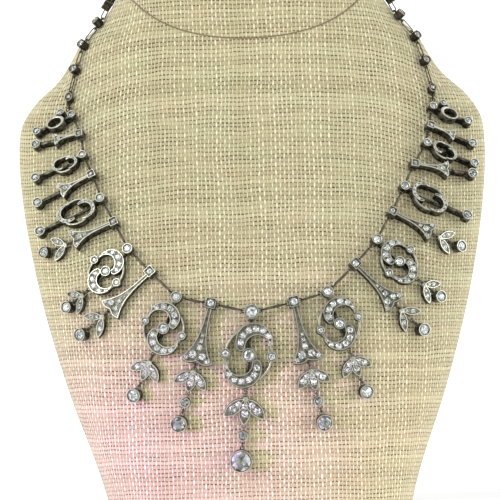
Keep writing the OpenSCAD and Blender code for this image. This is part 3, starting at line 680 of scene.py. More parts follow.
def plate(work, outline, height, at, ridge=RIDGE, sunk=SUNK):
    """A pierced plate with a raised edge all round a sunk field."""
    outline = resampled(outline, OUTLINE_STEP)
    if (outline[:, 0] * np.roll(outline[:, 1], -1) - outline[:, 1] * np.roll(outline[:, 0], -1)).sum() < 0:
        outline = outline[::-1]
    ahead = np.roll(outline, -1, 0) - np.roll(outline, 1, 0)
    inward = np.stack([-ahead[:, 1], ahead[:, 0]], 1) / np.linalg.norm(ahead, axis=1)[:, None]
    rows = []
    for inset in (EDGE_ROUND, ridge, ridge + FIELD_SLOPE):
        row = outline + inward * inset
        keep = inside(row, outline) & (from_edge(row, outline) > inset * 0.94)
        rows.append(row[keep])
    low, high = outline.min(0), outline.max(0)
    grid = np.stack(np.meshgrid(*[np.arange(low[k], high[k], FIELD_STEP) for k in (0, 1)]), -1).reshape(-1, 2)
    rows.append(grid[inside(grid, outline) & (from_edge(grid, outline) > ridge + FIELD_STEP / 2)])
    cloud = np.vstack([outline] + rows)
    out_points, _, out_faces, origins, _, _ = delaunay_2d_cdt(
        [Vector(p) for p in cloud], [], [list(range(len(outline)))], 1, 1e-5)
    flat = np.array([(p.x, p.y) for p in out_points])
    d = from_edge(flat, outline)
    z = np.interp(d, [0, EDGE_ROUND, ridge, ridge + FIELD_SLOPE],
                  [height - 0.12, height, height, height - sunk])
    wear_and_painted_light = np.interp(d, [0, 0.05, ridge, ridge + FIELD_SLOPE], [0.7, 1.0, 0.85, 0.27])
    points = [(p[0], p[1], h) for p, h in zip(flat, z)]
    faces = [tuple(face) for face in out_faces]
    where = {}
    for index, sources in enumerate(origins):
        for source in sources:
            if source < len(outline):
                where[source] = index
    n = len(outline)
    edge = [where[k] for k in range(n)]
    ring = edge
    for level, shine in ((height - 0.4, 0.2), (0.0, 0.06)):
        lower = list(range(len(points), len(points) + n))
        points += [(flat[k][0], flat[k][1], level) for k in edge]
        wear_and_painted_light = np.append(wear_and_painted_light, [shine] * n)
        faces += [(ring[k], lower[k], lower[(k + 1) % n], ring[(k + 1) % n]) for k in range(n)]
        ring = lower
    faces.append(tuple(ring[::-1]))
    work.add(points, faces, wear_and_painted_light, at)


def arc(x, y, r, start, end, steps):
    return [(x + r * math.cos(a), y + r * math.sin(a))
            for a in np.radians(np.linspace(start, end, steps + 1))]


def tube(work, path, radius, at, closed=False, wear_and_painted_light=0.3):
    """Round wire along a path. Its radius is one number or one for each point."""
    sides = TUBE_SIDES
    path = np.asarray(path, float)
    n = len(path)
    radius = np.broadcast_to(radius, n)
    ahead = np.roll(path, -1, 0) - np.roll(path, 1, 0) if closed else np.gradient(path, axis=0)
    ahead = ahead / np.linalg.norm(ahead, axis=1)[:, None]
    side = np.cross(ahead[0], (0.3, 0.5, 0.81))
    points = []
    for k in range(n):
        side = unit(side - ahead[k] * side.dot(ahead[k]))
        up = np.cross(ahead[k], side)
        points += [path[k] + radius[k] * (math.cos(a) * side + math.sin(a) * up)
                   for a in np.arange(sides) * 2 * math.pi / sides]
    faces = []
    for k in range(n if closed else n - 1):
        m = (k + 1) % n
        for j in range(sides):
            i = (j + 1) % sides
            faces.append((k * sides + j, k * sides + i, m * sides + i, m * sides + j))
    if not closed:
        faces.append(tuple(range(sides))[::-1])
        faces.append(tuple((n - 1) * sides + j for j in range(sides)))
    work.add(points, faces, wear_and_painted_light, at)


def band(work, outer, inner, height, at, shine, closed=False):
    """A strip of silver with rounded edges between two lines of points, with eight shares of shine across."""
    outer, inner = np.asarray(outer, float), np.asarray(inner, float)
    levels = [(0, 0), (0, height - 0.35), (0.06, height - 0.1), (0.25, height),
              (0.75, height), (0.94, height - 0.1), (1, height - 0.35), (1, 0)]
    points = [(*(a + (b - a) * share), z) for a, b in zip(outer, inner) for share, z in levels]
    m, n = len(levels), len(outer)
    faces = []
    for i in range(n if closed else n - 1):
        here, there = i * m, (i + 1) % n * m
        for j in range(m):
            k = (j + 1) % m
            faces.append((here + j, here + k, there + k, there + j))
    if not closed:
        faces.append(tuple(range(m))[::-1])
        faces.append(tuple((n - 1) * m + j for j in range(m)))
    work.add(points, faces, np.tile(shine, n), at)


def gem(work, x, y, z, r, at, cut="brilliant", spin=0.0, girdle=GIRDLE, pavilion=PAVILION, light=1.0):
    """A stone, its girdle's top at z, with painted light on its facets. A brilliant has a table and 8-fold
    facets, a rose cut a low dome.
    """
    def ringed(count, radius, level, offset=0.0):
        return [(x + radius * math.cos(a), y + radius * math.sin(a), level) for a in
                (np.arange(count) + offset) * 2 * math.pi / count + spin]

    faces = []
    if cut == "rose":
        points = ringed(1, 0, z + 0.5 * r) + ringed(6, 0.6 * r, z + 0.36 * r) + ringed(12, r, z) \
            + ringed(12, r, z - girdle) + ringed(1, 0, z - girdle - 0.25 * r)
        for k in range(6):
            m = (k + 1) % 6
            faces += [(0, 1 + k, 1 + m), (1 + k, 7 + 2 * k, 7 + 2 * k + 1), (1 + k, 7 + 2 * k + 1, 1 + m),
                      (1 + m, 7 + 2 * k + 1, 7 + (2 * k + 2) % 12)]
        for k in range(12):
            m = (k + 1) % 12
            faces += [(7 + k, 19 + k, 19 + m, 7 + m), (19 + k, 31, 19 + m)]
        # painted light: a dark heart of painted shade with a lighter rim
        light = [0.0] + [0.3] * 6 + [0.75] * 12 + [0.3] * 13
    else:
        points = ringed(8, 0.5 * r, z + 0.34 * r) + ringed(8, 0.76 * r, z + 0.2 * r, 0.5) + ringed(16, r, z) \
            + ringed(16, r, z - girdle) + ringed(8, 0.42 * r, z - girdle - 0.55 * pavilion * r) \
            + ringed(8, 0.08 * r, z - girdle - pavilion * r)
        stars, edge, under, mains, culet = 8, 16, 32, 48, 56
        faces.append(tuple(range(8)))
        for k in range(8):
            m, before = (k + 1) % 8, (k - 1) % 8
            p, q, next_p = 2 * k, 2 * k + 1, (2 * k + 2) % 16
            faces += [(k, stars + k, m), (k, stars + before, edge + p, stars + k),
                      (stars + k, edge + p, edge + q), (stars + k, edge + q, edge + next_p),
                      (under + p, mains + k, under + q), (under + q, mains + k, mains + m),
                      (under + q, mains + m, under + next_p), (mains + k, culet + k, culet + m, mains + m)]
        for k in range(16):
            m = (k + 1) % 16
            faces.append((edge + k, under + k, under + m, edge + m))
        faces.append(tuple(culet + k for k in range(8))[::-1])
        if girdle == GIRDLE:
            # painted light: in a deep collet only the table and the facets next to it are painted as well lit
            light = [light] * 8 + [0.6 * light] * 8 + [0.0] * 48
    work.add(points, faces, light, at)


def small_stone(work, stones, x, y, z, r, at, along=90.0):
    """A small diamond in the field, in a thin raised ring with four beads of silver pushed up beside it."""
    turned(work, [
        (r + 0.22, z - 0.35, 0.1, 0),
        (r + 0.15, z - 0.02, 0.35, 0),
        (r + 0.08, z + 0.08, 0.7, 0),
        (r, z + 0.05, 0.45, 0),
        (r - 0.03, z - 0.12, 0.15, 0),
        (r - 0.06, z - 0.17, 1.0, 0)], x, y, 16, at)
    for turn in BEAD_TURNS:
        a = math.radians(along + turn)
        away = r + 0.2
        turned(work, [
            (BEAD_R, z - 0.3, 0.6, 0),
            (BEAD_R, z, 0.9, 0),
            (BEAD_R * 0.7, z + 0.14, 1.1, 0),
            (0.02, z + 0.2, 1.2, 0)], x + away * math.cos(a), y + away * math.sin(a), 7, at)
    gem(stones, x, y, z, r * 0.96, at, spin=x * 7 + y * 3, girdle=SMALL_GIRDLE, pavilion=SMALL_PAVILION)


def arm_rows(slim):
    """The outer edge, the curl's tip and the inner edge of one crescent, in a scroll of half length 1."""
    outer = arc(0.133, 0.425, 0.576, -22, 197, 40)
    if slim:
        return outer, arc(-0.347, 0.267, 0.071, 205, 350, 8), arc(0.163, 0.354, 0.446, -20, 190, 40)
    return outer, arc(-0.26, 0.26, 0.15, 200, 350, 10), arc(0.258, 0.242, 0.386, -8, 176, 40)


def turned_half(points, over):
    return np.asarray(points) * (-1 if over else 1)


def scroll(work, stones, rank, at):
    slim = rank.motif == "oval"
    half_w = rank.wide - (BAR_W / 2 if slim else 0)
    middle = np.array([0, -rank.down])
    outer, tip, inner = [np.array(row) * (half_w / ARM_WIDE, rank.long) for row in arm_rows(slim)]
    widths = np.linalg.norm(outer - inner, axis=1)
    spine = (outer + inner) / 2
    run = np.concatenate([[0], np.cumsum(np.linalg.norm(np.diff(spine, axis=0), axis=1))])
    turns = np.radians(np.linspace(116, 200, 20))
    wires = [np.stack([(half_w + half) * np.cos(turns), (WIRE_BOW * rank.long + half) * np.sin(turns)], 1)
             for half in (WIRE_W / 2, -WIRE_W / 2)]
    for over in (0, 1):
        outline = np.vstack([outer, tip, inner[::-1]])
        plate(work, middle + turned_half(outline, over), rank.plate, at, ridge=SLIM_RIDGE if slim else RIDGE)
        band(work, middle + turned_half(wires[0], over), middle + turned_half(wires[1], over),
             rank.plate - WIRE_STEP, at, WIRE_SHINE)
        s = run[-1] - FIRST_STONE * widths[-1]
        while s > 0:
            width = np.interp(s, run, widths)
            r = min((SLIM_STONE if slim else ARM_STONE) * width, STONE_MOST)
            if r < STONE_LEAST or slim and width < SLIM_LEAST * widths.max():
                s -= STONE_SEARCH
                continue
            (x, y), (u, v) = [[np.interp(t, run, spine[:, k]) for k in (0, 1)] for t in (s, s - 0.2)]
            px, py = middle + turned_half((x, y), over)
            small_stone(work, stones, px, py, rank.plate - SUNK + STONE_RISE, r, at,
                        math.degrees(math.atan2(v - y, u - x)))
            s -= 2 * r + STONE_APART
    post = rank.long * (SLIM_POST if slim else POST)
    line = [(0, -rank.down + y, BAR_W / 2 + 0.05) for y in np.linspace(-post, post, 8)]
    tube(work, line, BAR_W / 2, at, wear_and_painted_light=0.15)


# The fishtails
# A narrow bar widens into a tail with hollow sides and two pointed lobes. A line of diamonds runs down its
# middle to a bigger one, or two side by side, and the lobes hold one each where there is room.
TAIL_STEM = 0.14
TAIL_FLARE = 3.3
TAIL_LATER = 0.25
LOBE_BULGE = 0.16
# X as a share of the tail's half width, Y of its length, and the stone's radius as a share of the half width
WIDE_TAIL_STONES = [
    (0, -0.56, 0.08),
    (0, -0.655, 0.11),
    (0, -0.765, 0.18),
    (-0.33, -0.9, 0.24),
    (0.3, -0.905, 0.22),
    (-0.7, -0.97, 0.12),
    (0.68, -0.965, 0.15)]
NARROW_TAIL_STONES = [
    (0, -0.72, 0.13),
    (0, -0.86, 0.27),
    (-0.6, -0.955, 0.17),
    (0.6, -0.955, 0.17)]


def fishtail(work, stones, rank, at):
    l, w = rank.long, rank.wide
    stem = w * TAIL_STEM
    down = np.linspace(0, 1, 40)
    side = np.stack([stem + (w - stem) * down ** (TAIL_FLARE + TAIL_LATER * (rank.number - 1)), -l * down], 1)
    across = np.linspace(1, 0, 16)[1:]
    foot = np.stack([w * across, -l - LOBE_BULGE * w * np.sin(np.pi * across)], 1)
    half = np.vstack([side, foot])
    outline = np.vstack([half, (half[:-1] * (-1, 1))[::-1]])
    plate(work, outline, rank.plate, at)
    for x, y, r in WIDE_TAIL_STONES if rank.number < 5 else NARROW_TAIL_STONES:
        if r * w > STONE_LEAST:
            small_stone(work, stones, x * w, y * l, rank.plate - SUNK + STONE_RISE, r * w, at)


# The ringlets
# The last pendant on each side has a small ring, thicker at its top, and a curled arm that carries a collet
# beside the head.
RING_WALL = 0.66
RING_SHIFT = 0.3
CURL_X, CURL_Y = 3.4, 3.6
CURL_BOW = np.array([1.0, -0.3])


def ringlet(work, rank, at):
    a = np.radians(np.arange(0, 360, 10))
    outer = np.stack([rank.wide * np.cos(a), -rank.down + rank.long * np.sin(a)], 1)
    inner = np.stack([(rank.wide - RING_WALL) * np.cos(a),
                      -rank.down - RING_SHIFT + (rank.long - RING_WALL - RING_SHIFT) * np.sin(a)], 1)
    band(work, outer, inner, rank.plate, at, EDGE_SHINE, closed=True)
    start, end = np.array([CURL_X, -CURL_Y]), np.array([rank.wide * 0.75, -rank.down + rank.long * 0.1])
    share = np.linspace(0, 1, 12)
    spine = start + (end - start) * share[:, None] + CURL_BOW * (np.sin(np.pi * share) * 0.7)[:, None]
    ahead = np.gradient(spine, axis=0)
    left = np.stack([-ahead[:, 1], ahead[:, 0]], 1) / np.linalg.norm(ahead, axis=1)[:, None]
    width = (BAR_W / 2 * (1 - 0.3 * share))[:, None]
    band(work, spine + left * width, spine - left * width, rank.plate, at, EDGE_SHINE)


# The pendants put together
# Head, motif, side collets and, from the sixth rank on, the bar and end collet are soldered into one piece.
# Small eyes on the head take the neckline bars, and one at the foot takes what hangs there.
EYE_SIDES = 24


def eye(work, x, y, z, at, standing=False, wear_and_painted_light=0.3):
    """A small ring of wire, flat against the bust or standing across."""
    a = np.arange(EYE_SIDES) * 2 * math.pi / EYE_SIDES
    c, s, still = EYE_R * np.cos(a), EYE_R * np.sin(a), np.zeros(EYE_SIDES)
    steps = (still, c, s) if standing else (c, s, still)
    tube(work, np.stack(steps, 1) + (x, y, z), WIRE_R, at, closed=True, wear_and_painted_light=wear_and_painted_light)


def head_edge(rank, a):
    """How far the head's side is from its middle, at the level of the bars."""
    if rank.motif == "fishtail":
        return rank.head_r / max(abs(math.cos(a)), abs(math.sin(a)))
    return rank.head_r * (1 - (1 - TAPER) * 0.6)


def way_to(place, point):
    """The angle in which a point lies from a head, from the head's X."""
    d = point - place.start
    return math.atan2(-d.dot(place.down), d.dot(place.side))


def cross_at(rank, place, point):
    """Where a bar or link towards a point crosses the wire of the head's eye."""
    a = way_to(place, point)
    d = head_edge(rank, a) + EYE_CROSS
    return place.raised(d * math.cos(a), d * math.sin(a), BAR_LEVEL)


def upright(work, start, end, height, at):
    """A flat bar on edge down the middle of a frame, filed round along its top."""
    down = np.linspace(start, end, 8)
    side = np.full(8, BAR_W / 2)
    band(work, np.stack([side, down], 1), np.stack([-side, down], 1), height, at, BAR_SHINE)


def mid_collets(rank):
    """X, Y, radius and depth of the collets in and beside a motif."""
    found = [(0, -rank.down, rank.mid_r, SMALL_DEPTH)] if rank.mid_r else []
    if rank.motif == "scroll":
        found += [(s * rank.wide, -rank.down, rank.side_r, SMALL_DEPTH) for s in (-1, 1)]
    if rank.motif == "ringlet":
        found += [(CURL_X, -CURL_Y, rank.side_r, END_DEPTH)]
    return found


# The chain's way
# From the last pendants the chain goes up over the shoulders and round the back of the neck, to a clasp
# at the nape. It lies on the burlap all the way.
# turn round the neck from the front, and level
ROUTE = np.array([
    (47.5, 160),
    (55.5, 168.5),
    (65.5, 177),
    (70, 185.5),
    (73, 192),
    (79, 197.2),
    (89.5, 201.3),
    (104, 204.7),
    (124, 208),
    (151, 211),
    (180, 212)])
CHAIN_LIFT = LIFT + EYE_R + WIRE_R + 0.15
WAY_STEPS = 12


def route(u):
    last = len(ROUTE) - 1
    i = min(int(math.floor(u)), last - 1)
    s = u - i
    a, b, c = ROUTE[max(i - 1, 0)], ROUTE[i], ROUTE[i + 1]
    past_nape = np.array([2 * ROUTE[last][0] - ROUTE[last - 1][0], ROUTE[last - 1][1]])
    d = ROUTE[i + 2] if i + 2 <= last else past_nape
    return 0.5 * (2 * b + (c - a) * s + (2 * a - 5 * b + 4 * c - d) * s * s
                  + (3 * b - a - 3 * c + d) * s ** 3)


def way(u):
    turn, z = route(u)
    return skin(turn, z) + CHAIN_LIFT * outward(turn, z)


WAY = np.array([way(i / WAY_STEPS) for i in range(WAY_STEPS * (len(ROUTE) - 1) + 1)])
RUN = np.concatenate([[0], np.cumsum(np.linalg.norm(np.diff(WAY, axis=0), axis=1))])
CHAIN_L = RUN[-1]


def at_run(s):
    return np.interp(s, RUN, np.arange(len(RUN)) / WAY_STEPS)


def chain_point(side, s):
    return way(at_run(s)) * (side, 1, 1)


def chain_out(side, s):
    return outward(*route(at_run(s))) * (side, 1, 1)


def chain_start(side):
    return chain_point(side, RANKS[10].head_r + EYE_CROSS + RING_SPAN)


small_diamonds = Work()
for i, name in enumerate(NAMES):
    rank, place = rank_of(name), frame_place(name)
    here, motif_here = place.frame(), place.frame(PENDANTS[name][0])
    work = Work()
    if rank.motif == "fishtail":
        square_head(work, rank.head_r, here)
        fishtail(work, small_diamonds, rank, motif_here)
    else:
        collet(work, 0, 0, rank.head_r, HEAD_DEPTH, here)
        neck = rank.down - rank.long
        upright(work, -rank.head_r * 0.6, -neck - BAR_W, rank.plate - WIRE_STEP, here)
        if rank.motif == "ringlet":
            ringlet(work, rank, motif_here)
        else:
            scroll(work, small_diamonds, rank, motif_here)
    for x, y, r, depth in mid_collets(rank):
        collet(work, x, y, r, depth, motif_here, 28)
    if rank.leaves:
        eye(work, 0, -rank.motif_end - EYE_REACH, EYE_LEVEL, here)
    else:
        upright(work, -rank.motif_end + BAR_W, -rank.reach, rank.plate - 2 * WIRE_STEP, here)
        collet(work, 0, -rank.reach, rank.end_r, END_DEPTH, here, 28)
    before = frame_place(NAMES[i - 1]).start if i else chain_start(-1)
    after = frame_place(NAMES[i + 1]).start if i + 1 < len(NAMES) else chain_start(1)
    for neighbour in (before, after):
        a = way_to(place, neighbour)
        d = head_edge(rank, a) + EYE_REACH
        eye(work, d * math.cos(a), d * math.sin(a), BAR_LEVEL, here)
    work.finish("fringe_" + name, SILVER, "silver", "pendant_" + name)


# The leaf sprays
# From the fifth rank in, a spray of pierced leaves hangs from each motif on a jump ring: three leaves on the
# middle five pendants, two on a thin stem on the others. Each leaf has a raised edge and a stone or two.
LEAF_PLATE = 2.0
LEAF_RIDGE = 0.28
LEAF_SUNK = 0.25
LEAF_STONE_DROP = 0.1
LEAF_FOOT = -BAR_W / 2
STEM_PAST = 0.15
STEM_LEVEL = 0.8
BOSS_DROP = 0.8
# by number of leaves: how far the outer two turn from straight down, and each stone's place down the leaf and
# radius, as shares of the leaf's length and width
SPREAD = {3: 47, 2: 38}
LEAF_STONES = {3: ((0.33, 0.26), (0.6, 0.31)), 2: ((0.3, 0.2), (0.57, 0.3))}


def rest(start, hang, length, down):
    """A piece that starts at a point and rests its far end on the bust."""
    seen = math.hypot(down[0], down[2]) * length
    x = start[0] + math.sin(math.radians(hang)) * seen
    z = start[2] - math.cos(math.radians(hang)) * seen
    turn = turn_at(x, z)
    n = outward(turn, z)
    way_down = unit(skin(turn, z) + LIFT * n - start)
    return Place(start, way_down, unit(n - way_down * n.dot(way_down)))


def next_place(name, before, gone, between, length):
    """The piece that hangs from the one before it."""
    hang = PENDANTS[name][4]
    link = before.raised(0, -gone - EYE_CROSS, EYE_LEVEL)

    def below(place):
        return (link + between * unit(before.down + place.down) + EYE_CROSS * place.down
                - EYE_LEVEL * place.out)

    first = rest(before.start + before.down * (gone + between + 2 * EYE_CROSS), hang, length, before.down)
    second = rest(below(first), hang, length, first.down)
    return Place(below(second), second.down, second.out)


def spray_place(name):
    rank = rank_of(name)
    return next_place(name, frame_place(name), rank.motif_end, RING_SPAN, rank.spray_l)


def leaf_outline(l, w):
    """A pointed leaf from its foot down to its tip."""
    y = np.linspace(0, -l, 24)
    bulge = w / 2
    r = (l * l / 4 + bulge * bulge) / (2 * bulge)
    x = np.sqrt(r * r - (y + l / 2) ** 2) - (r - bulge)
    return np.vstack([np.stack([x, y], 1), np.stack([-x, y], 1)[1:-1][::-1]])


def rotated(points, degrees):
    c, s = math.cos(math.radians(degrees)), math.sin(math.radians(degrees))
    return np.asarray(points) @ np.array([[c, s], [-s, c]])


WITH_LEAVES = [name for name in NAMES if rank_of(name).leaves]
for name in WITH_LEAVES:
    rank = rank_of(name)
    here = spray_place(name).frame()
    work = Work()
    spread = SPREAD[rank.leaves]
    for angle, foot in [(-spread, LEAF_FOOT), (spread, LEAF_FOOT), (0, 0)][:rank.leaves]:
        outline = rotated(leaf_outline(rank.leaf_l, rank.leaf_w), angle) + (0, foot)
        plate(work, outline, LEAF_PLATE, here, ridge=LEAF_RIDGE, sunk=LEAF_SUNK)
        for share, size in LEAF_STONES[rank.leaves]:
            x, y = rotated((0, -rank.leaf_l * share), angle) + (0, foot)
            small_stone(work, small_diamonds, x, y, LEAF_PLATE - LEAF_STONE_DROP, rank.leaf_w * size, here,
                        90 + angle)
    turned(work, [
        (BAR_W, 0, 0.1, 0),
        (BAR_W, LEAF_PLATE - 0.3, 0.3, 0),
        (BAR_W - 0.25, LEAF_PLATE - 0.05, 0.55, 0),
        (0.2, LEAF_PLATE, 0.4, 0)], 0, -BOSS_DROP, 20, here)
    tube(work, [(0, y, STEM_LEVEL) for y in np.linspace(0, -rank.spray_l - STEM_PAST, 8)], BAR_W / 2, here)
    eye(work, 0, EYE_REACH, EYE_LEVEL, here)
    eye(work, 0, -rank.spray_l - EYE_REACH, EYE_LEVEL, here)
    work.finish("spray_" + name, SILVER, "silver", "leaf_spray_" + name)


# The link collets and the drops
# Below the sprays hang the end collets, on the middle three pendants after a small link collet. All have
# closed backs, and eyes at their edges.
def link_place(name):
    rank = rank_of(name)
    return next_place(name, spray_place(name), rank.spray_l, 0, 2 * rank.link_r)


def drop_place(name):
    rank = rank_of(name)
    if rank.link_r:
        return next_place(name, link_place(name), 2 * rank.link_r, RING_SPAN, 2 * rank.end_r)
    return next_place(name, spray_place(name), rank.spray_l, RING_SPAN, 2 * rank.end_r)


for name in WITH_LEAVES:
    rank = rank_of(name)
    if rank.link_r:
        here = link_place(name).frame()
        work = Work()
        collet(work, 0, -rank.link_r, rank.link_r, SMALL_DEPTH, here, 28)
        eye(work, 0, EYE_REACH, EYE_LEVEL, here, standing=True)
        eye(work, 0, -2 * rank.link_r - EYE_REACH, EYE_LEVEL, here)
        work.finish("link_" + name, SILVER, "silver", "link_collet_" + name)
    here = drop_place(name).frame()
    work = Work()
    collet(work, 0, -rank.end_r, rank.end_r, END_DEPTH, here, 36)
    eye(work, 0, EYE_REACH, EYE_LEVEL, here)
    work.finish("end_" + name, SILVER, "silver", "drop_" + name)


# The rings and bars
# Jump rings of round wire join the hanging pieces, and thin oxidised bars with an eye at each end join the
# heads along the neckline.
LINK_STEP = 1.2


def spanned(a, b, out):
    """A frame from one crossing to the next, X along it and Z out of the bust."""
    x = unit(b - a)
    z = unit(out - x * out.dot(x))
    return a, x, np.cross(z, x), z


def wire_link(work, a, b, out):
    """A closed link through two crossings, standing on edge: round where they are close, long where not."""
    l = np.linalg.norm(b - a) + 2 * HOOK
    r = l / 2 if l < 3 * EYE_R else EYE_R
    turns = np.radians(np.linspace(90, 270, 13))
    near = [(r + r * math.cos(t), r * math.sin(t), 0) for t in turns]
    far = [(l - r - r * math.cos(t), -r * math.sin(t), 0) for t in turns]
    path = near + far[1:-1]
    if l > 2.01 * r:
        extra = max(1, int((l - 2 * r) / LINK_STEP))
        lower = [(r + (l - 2 * r) * k / (extra + 1), -r, 0) for k in range(1, extra + 1)]
        path = near + lower + far + [(p[0], r, 0) for p in lower[::-1]]
    start, x, y, z = spanned(a, b, out)
    tube(work, path, WIRE_R, (start - x * HOOK, x, -z, y), closed=True, wear_and_painted_light=0.35)


rings = Work()
for name in WITH_LEAVES:
    rank = rank_of(name)
    joints = [(frame_place(name), rank.motif_end, spray_place(name))]
    joints.append((link_place(name), 2 * rank.link_r, drop_place(name)) if rank.link_r else
                  (spray_place(name), rank.spray_l, drop_place(name)))
    for upper, gone, lower in joints:
        wire_link(rings, upper.raised(0, -gone - EYE_CROSS, EYE_LEVEL), lower.raised(0, EYE_CROSS, EYE_LEVEL),
                  upper.out + lower.out)
rings.finish("rings", DARK_SILVER, "dark_silver", "jump_rings")

bars = Work()
for name, following in zip(NAMES, NAMES[1:]):
    p, q = frame_place(name), frame_place(following)
    a, b = cross_at(rank_of(name), p, q.start), cross_at(rank_of(following), q, p.start)
    l = np.linalg.norm(b - a)
    start, x, y, z = spanned(a, b, p.out + q.out)
    for s in (EYE_R - HOOK, l - EYE_R + HOOK):
        eye(bars, s, 0, 0, (start, x, -z, y), wear_and_painted_light=0.2)
    ends = np.linspace(2 * EYE_R - HOOK - WIRE_R / 2, l - 2 * EYE_R + HOOK + WIRE_R / 2, 9)
    swell = NECKLINE_R * (0.85 + 0.15 * np.sin(np.linspace(0, np.pi, 9)))
    tube(bars, [(s, 0, 0) for s in ends], swell, (start, x, y, z), wear_and_painted_light=0.45)
bars.finish("neckline", DARK_SILVER, "dark_silver", "neckline_bars")


# The chain
# On each side three small rings, a navette link, then eleven small collets with long wire links between them.
# The silver is dark with age, and bright only where the collets' rims rub.
CHAIN_COLLETS = 11
CHAIN_COLLET_R = 1.7
NAVETTE_SPAN = 6.1
NAVETTE_W = 2.9
NAVETTE_DEPTH = 2.4
NAVETTE_BACK = 1.0
NAVETTE_STONE_R = 0.75
FIRST_LINK = 7.0
CLASP_L = 9.0
COLLET_SPAN = 2 * CHAIN_COLLET_R + 2 * EYE_CROSS
CHAIN_BEFORE = RANKS[10].head_r + EYE_CROSS
CLASP_HALF = CLASP_L / 2 + EYE_CROSS
LINK_SPAN = (CHAIN_L - CHAIN_BEFORE - 3 * RING_SPAN - NAVETTE_SPAN - FIRST_LINK - CLASP_HALF
             - CHAIN_COLLETS * COLLET_SPAN) / CHAIN_COLLETS
CHAIN = [("wire", RING_SPAN), ("flat", RING_SPAN), ("wire", RING_SPAN), ("navette", NAVETTE_SPAN),
         ("wire", FIRST_LINK)] + [("collet", COLLET_SPAN), ("wire", LINK_SPAN)] * CHAIN_COLLETS


def linked(work, a, b, out, back):
    """Puts an eye inside each of two crossings. Gives their distance, and a frame set back in the middle."""
    start, x, y, z = spanned(a, b, out)
    d = np.linalg.norm(b - a)
    for s in (EYE_CROSS - EYE_REACH, d - EYE_CROSS + EYE_REACH):
        eye(work, s, 0, 0, (start, x, y, z))
    return d, (start + x * d / 2 - z * back, x, y, z)


chain_diamonds = Work()
for side, node in ((-1, "chain_left"), (1, "chain_right")):
    work = Work()
    s = CHAIN_BEFORE
    head = NAMES[0] if side < 0 else NAMES[-1]
    for i, (kind, length) in enumerate(CHAIN):
        a, b = chain_point(side, s), chain_point(side, s + length)
        if i == 0:
            a = cross_at(RANKS[10], frame_place(head), chain_start(side))
        out = chain_out(side, s + length / 2)
        if kind == "wire":
            wire_link(work, a, b, out)
        elif kind == "flat":
            wire_link(work, a, b, np.cross(b - a, out))
        elif kind == "navette":
            d, seat = linked(work, a, b, out, NAVETTE_BACK)
            tip_to_tip = d - 2 * EYE_CROSS
            outline = leaf_outline(tip_to_tip, NAVETTE_W)
            plate(work, np.stack([-outline[:, 1] - tip_to_tip / 2, outline[:, 0]], 1), NAVETTE_DEPTH, seat,
                  ridge=LEAF_RIDGE, sunk=LEAF_SUNK)
            small_stone(work, chain_diamonds, 0, 0, NAVETTE_DEPTH - LEAF_STONE_DROP, NAVETTE_STONE_R, seat)
        else:
            _, seat = linked(work, a, b, out, EYE_R + WIRE_R)
            collet(work, 0, 0, CHAIN_COLLET_R, SMALL_DEPTH, seat, 24)
            # painted shade: the chain's stones get little painted light
            gem(chain_diamonds, 0, 0, SMALL_DEPTH - GIRDLE_DROP, CHAIN_COLLET_R - RIM - STONE_GAP, seat,
                spin=s, light=0.2)
        s += length
    work.finish(node.replace("chain_", "chain_of_collets_"), DARK_SILVER, "dark_silver", node)


# The clasp
# A plain silver box with an eye soldered to each end closes the chain at the nape. The photo doesn't show
# it, so its form is a guess.
CLASP_W = 4.0
CLASP_DEPTH = 2.6
CLASP_BACK = 0.7
CLASP_CORNER = 0.6
CLASP_EDGE = 0.5
CLASP_SUNK = 0.15

work = Work()
d, seat = linked(work, chain_point(1, CHAIN_L - CLASP_HALF), chain_point(-1, CHAIN_L - CLASP_HALF),
                 chain_out(1, CHAIN_L), CLASP_BACK)
corner_x, corner_y = d / 2 - EYE_CROSS - CLASP_CORNER, CLASP_W / 2 - CLASP_CORNER
outline = []
for x, y, start in ((1, 1, 0), (-1, 1, 90), (-1, -1, 180), (1, -1, 270)):
    outline += arc(x * corner_x, y * corner_y, CLASP_CORNER, start, start + 90, 5)
plate(work, outline, CLASP_DEPTH, seat, ridge=CLASP_EDGE, sunk=CLASP_SUNK)
work.finish("box_clasp", DARK_SILVER, "dark_silver", "clasp")


# The diamonds
# Old brilliants with small tables and eight-fold facets sit in the collets. The biggest drops and the link
# collets hold rose cuts: flat-backed stones with a low dome of triangular facets and a painted dark middle.
# Painted light: the facet colours from dark to bright stand in for reflections
FACET_PAINTED_LIGHT = [(0.0, (0.2, 0.24, 0.23)), (0.32, (0.64, 0.72, 0.67)), (0.68, (0.93, 1.0, 0.92))]
ROSE_CUT_DROPS = ("c", "l1", "r1")


def diamond():
    """Clear stone whose facets each get a painted reflection of another brightness, with painted shade at a
    dark heart.
    """
    r = Recipe("old_cut_diamond")
    place = r.put("ShaderNodeTexCoord").outputs["Object"]
    light = r.put("ShaderNodeAttribute", attribute_name="wear_and_painted_light").outputs["Fac"]
    facing = r.put("ShaderNodeVectorMath", {
        0: r.put("ShaderNodeNewGeometry").outputs["True Normal"], 1: (7.3, 7.3, 7.3)}, operation="MULTIPLY")
    facet = r.put("ShaderNodeTexWhiteNoise", {"Vector": facing.outputs[0]}).outputs["Value"]
    cloud = r.put("ShaderNodeTexNoise", {"Vector": place, "Scale": 900.0, "Detail": 2.0}).outputs[0]
    # painted light: a random brightness for each facet, scaled by its painted light share
    painted_facet_light = r.times(facet, r.between(light, 0.25, 1.0))
    clearness = r.put("ShaderNodeMapRange", {0: painted_facet_light, 1: 0.2, 2: 0.9, 3: 1.0, 4: 0.3}).outputs[0]
    r.links.new(r.ramp(painted_facet_light, FACET_PAINTED_LIGHT), r.shader.inputs["Base Color"])
    r.links.new(r.between(cloud, 0.01, 0.08), r.shader.inputs["Roughness"])
    r.links.new(clearness, r.shader.inputs["Transmission Weight"])
    r.shader.inputs["IOR"].default_value = 2.2
    return r.material


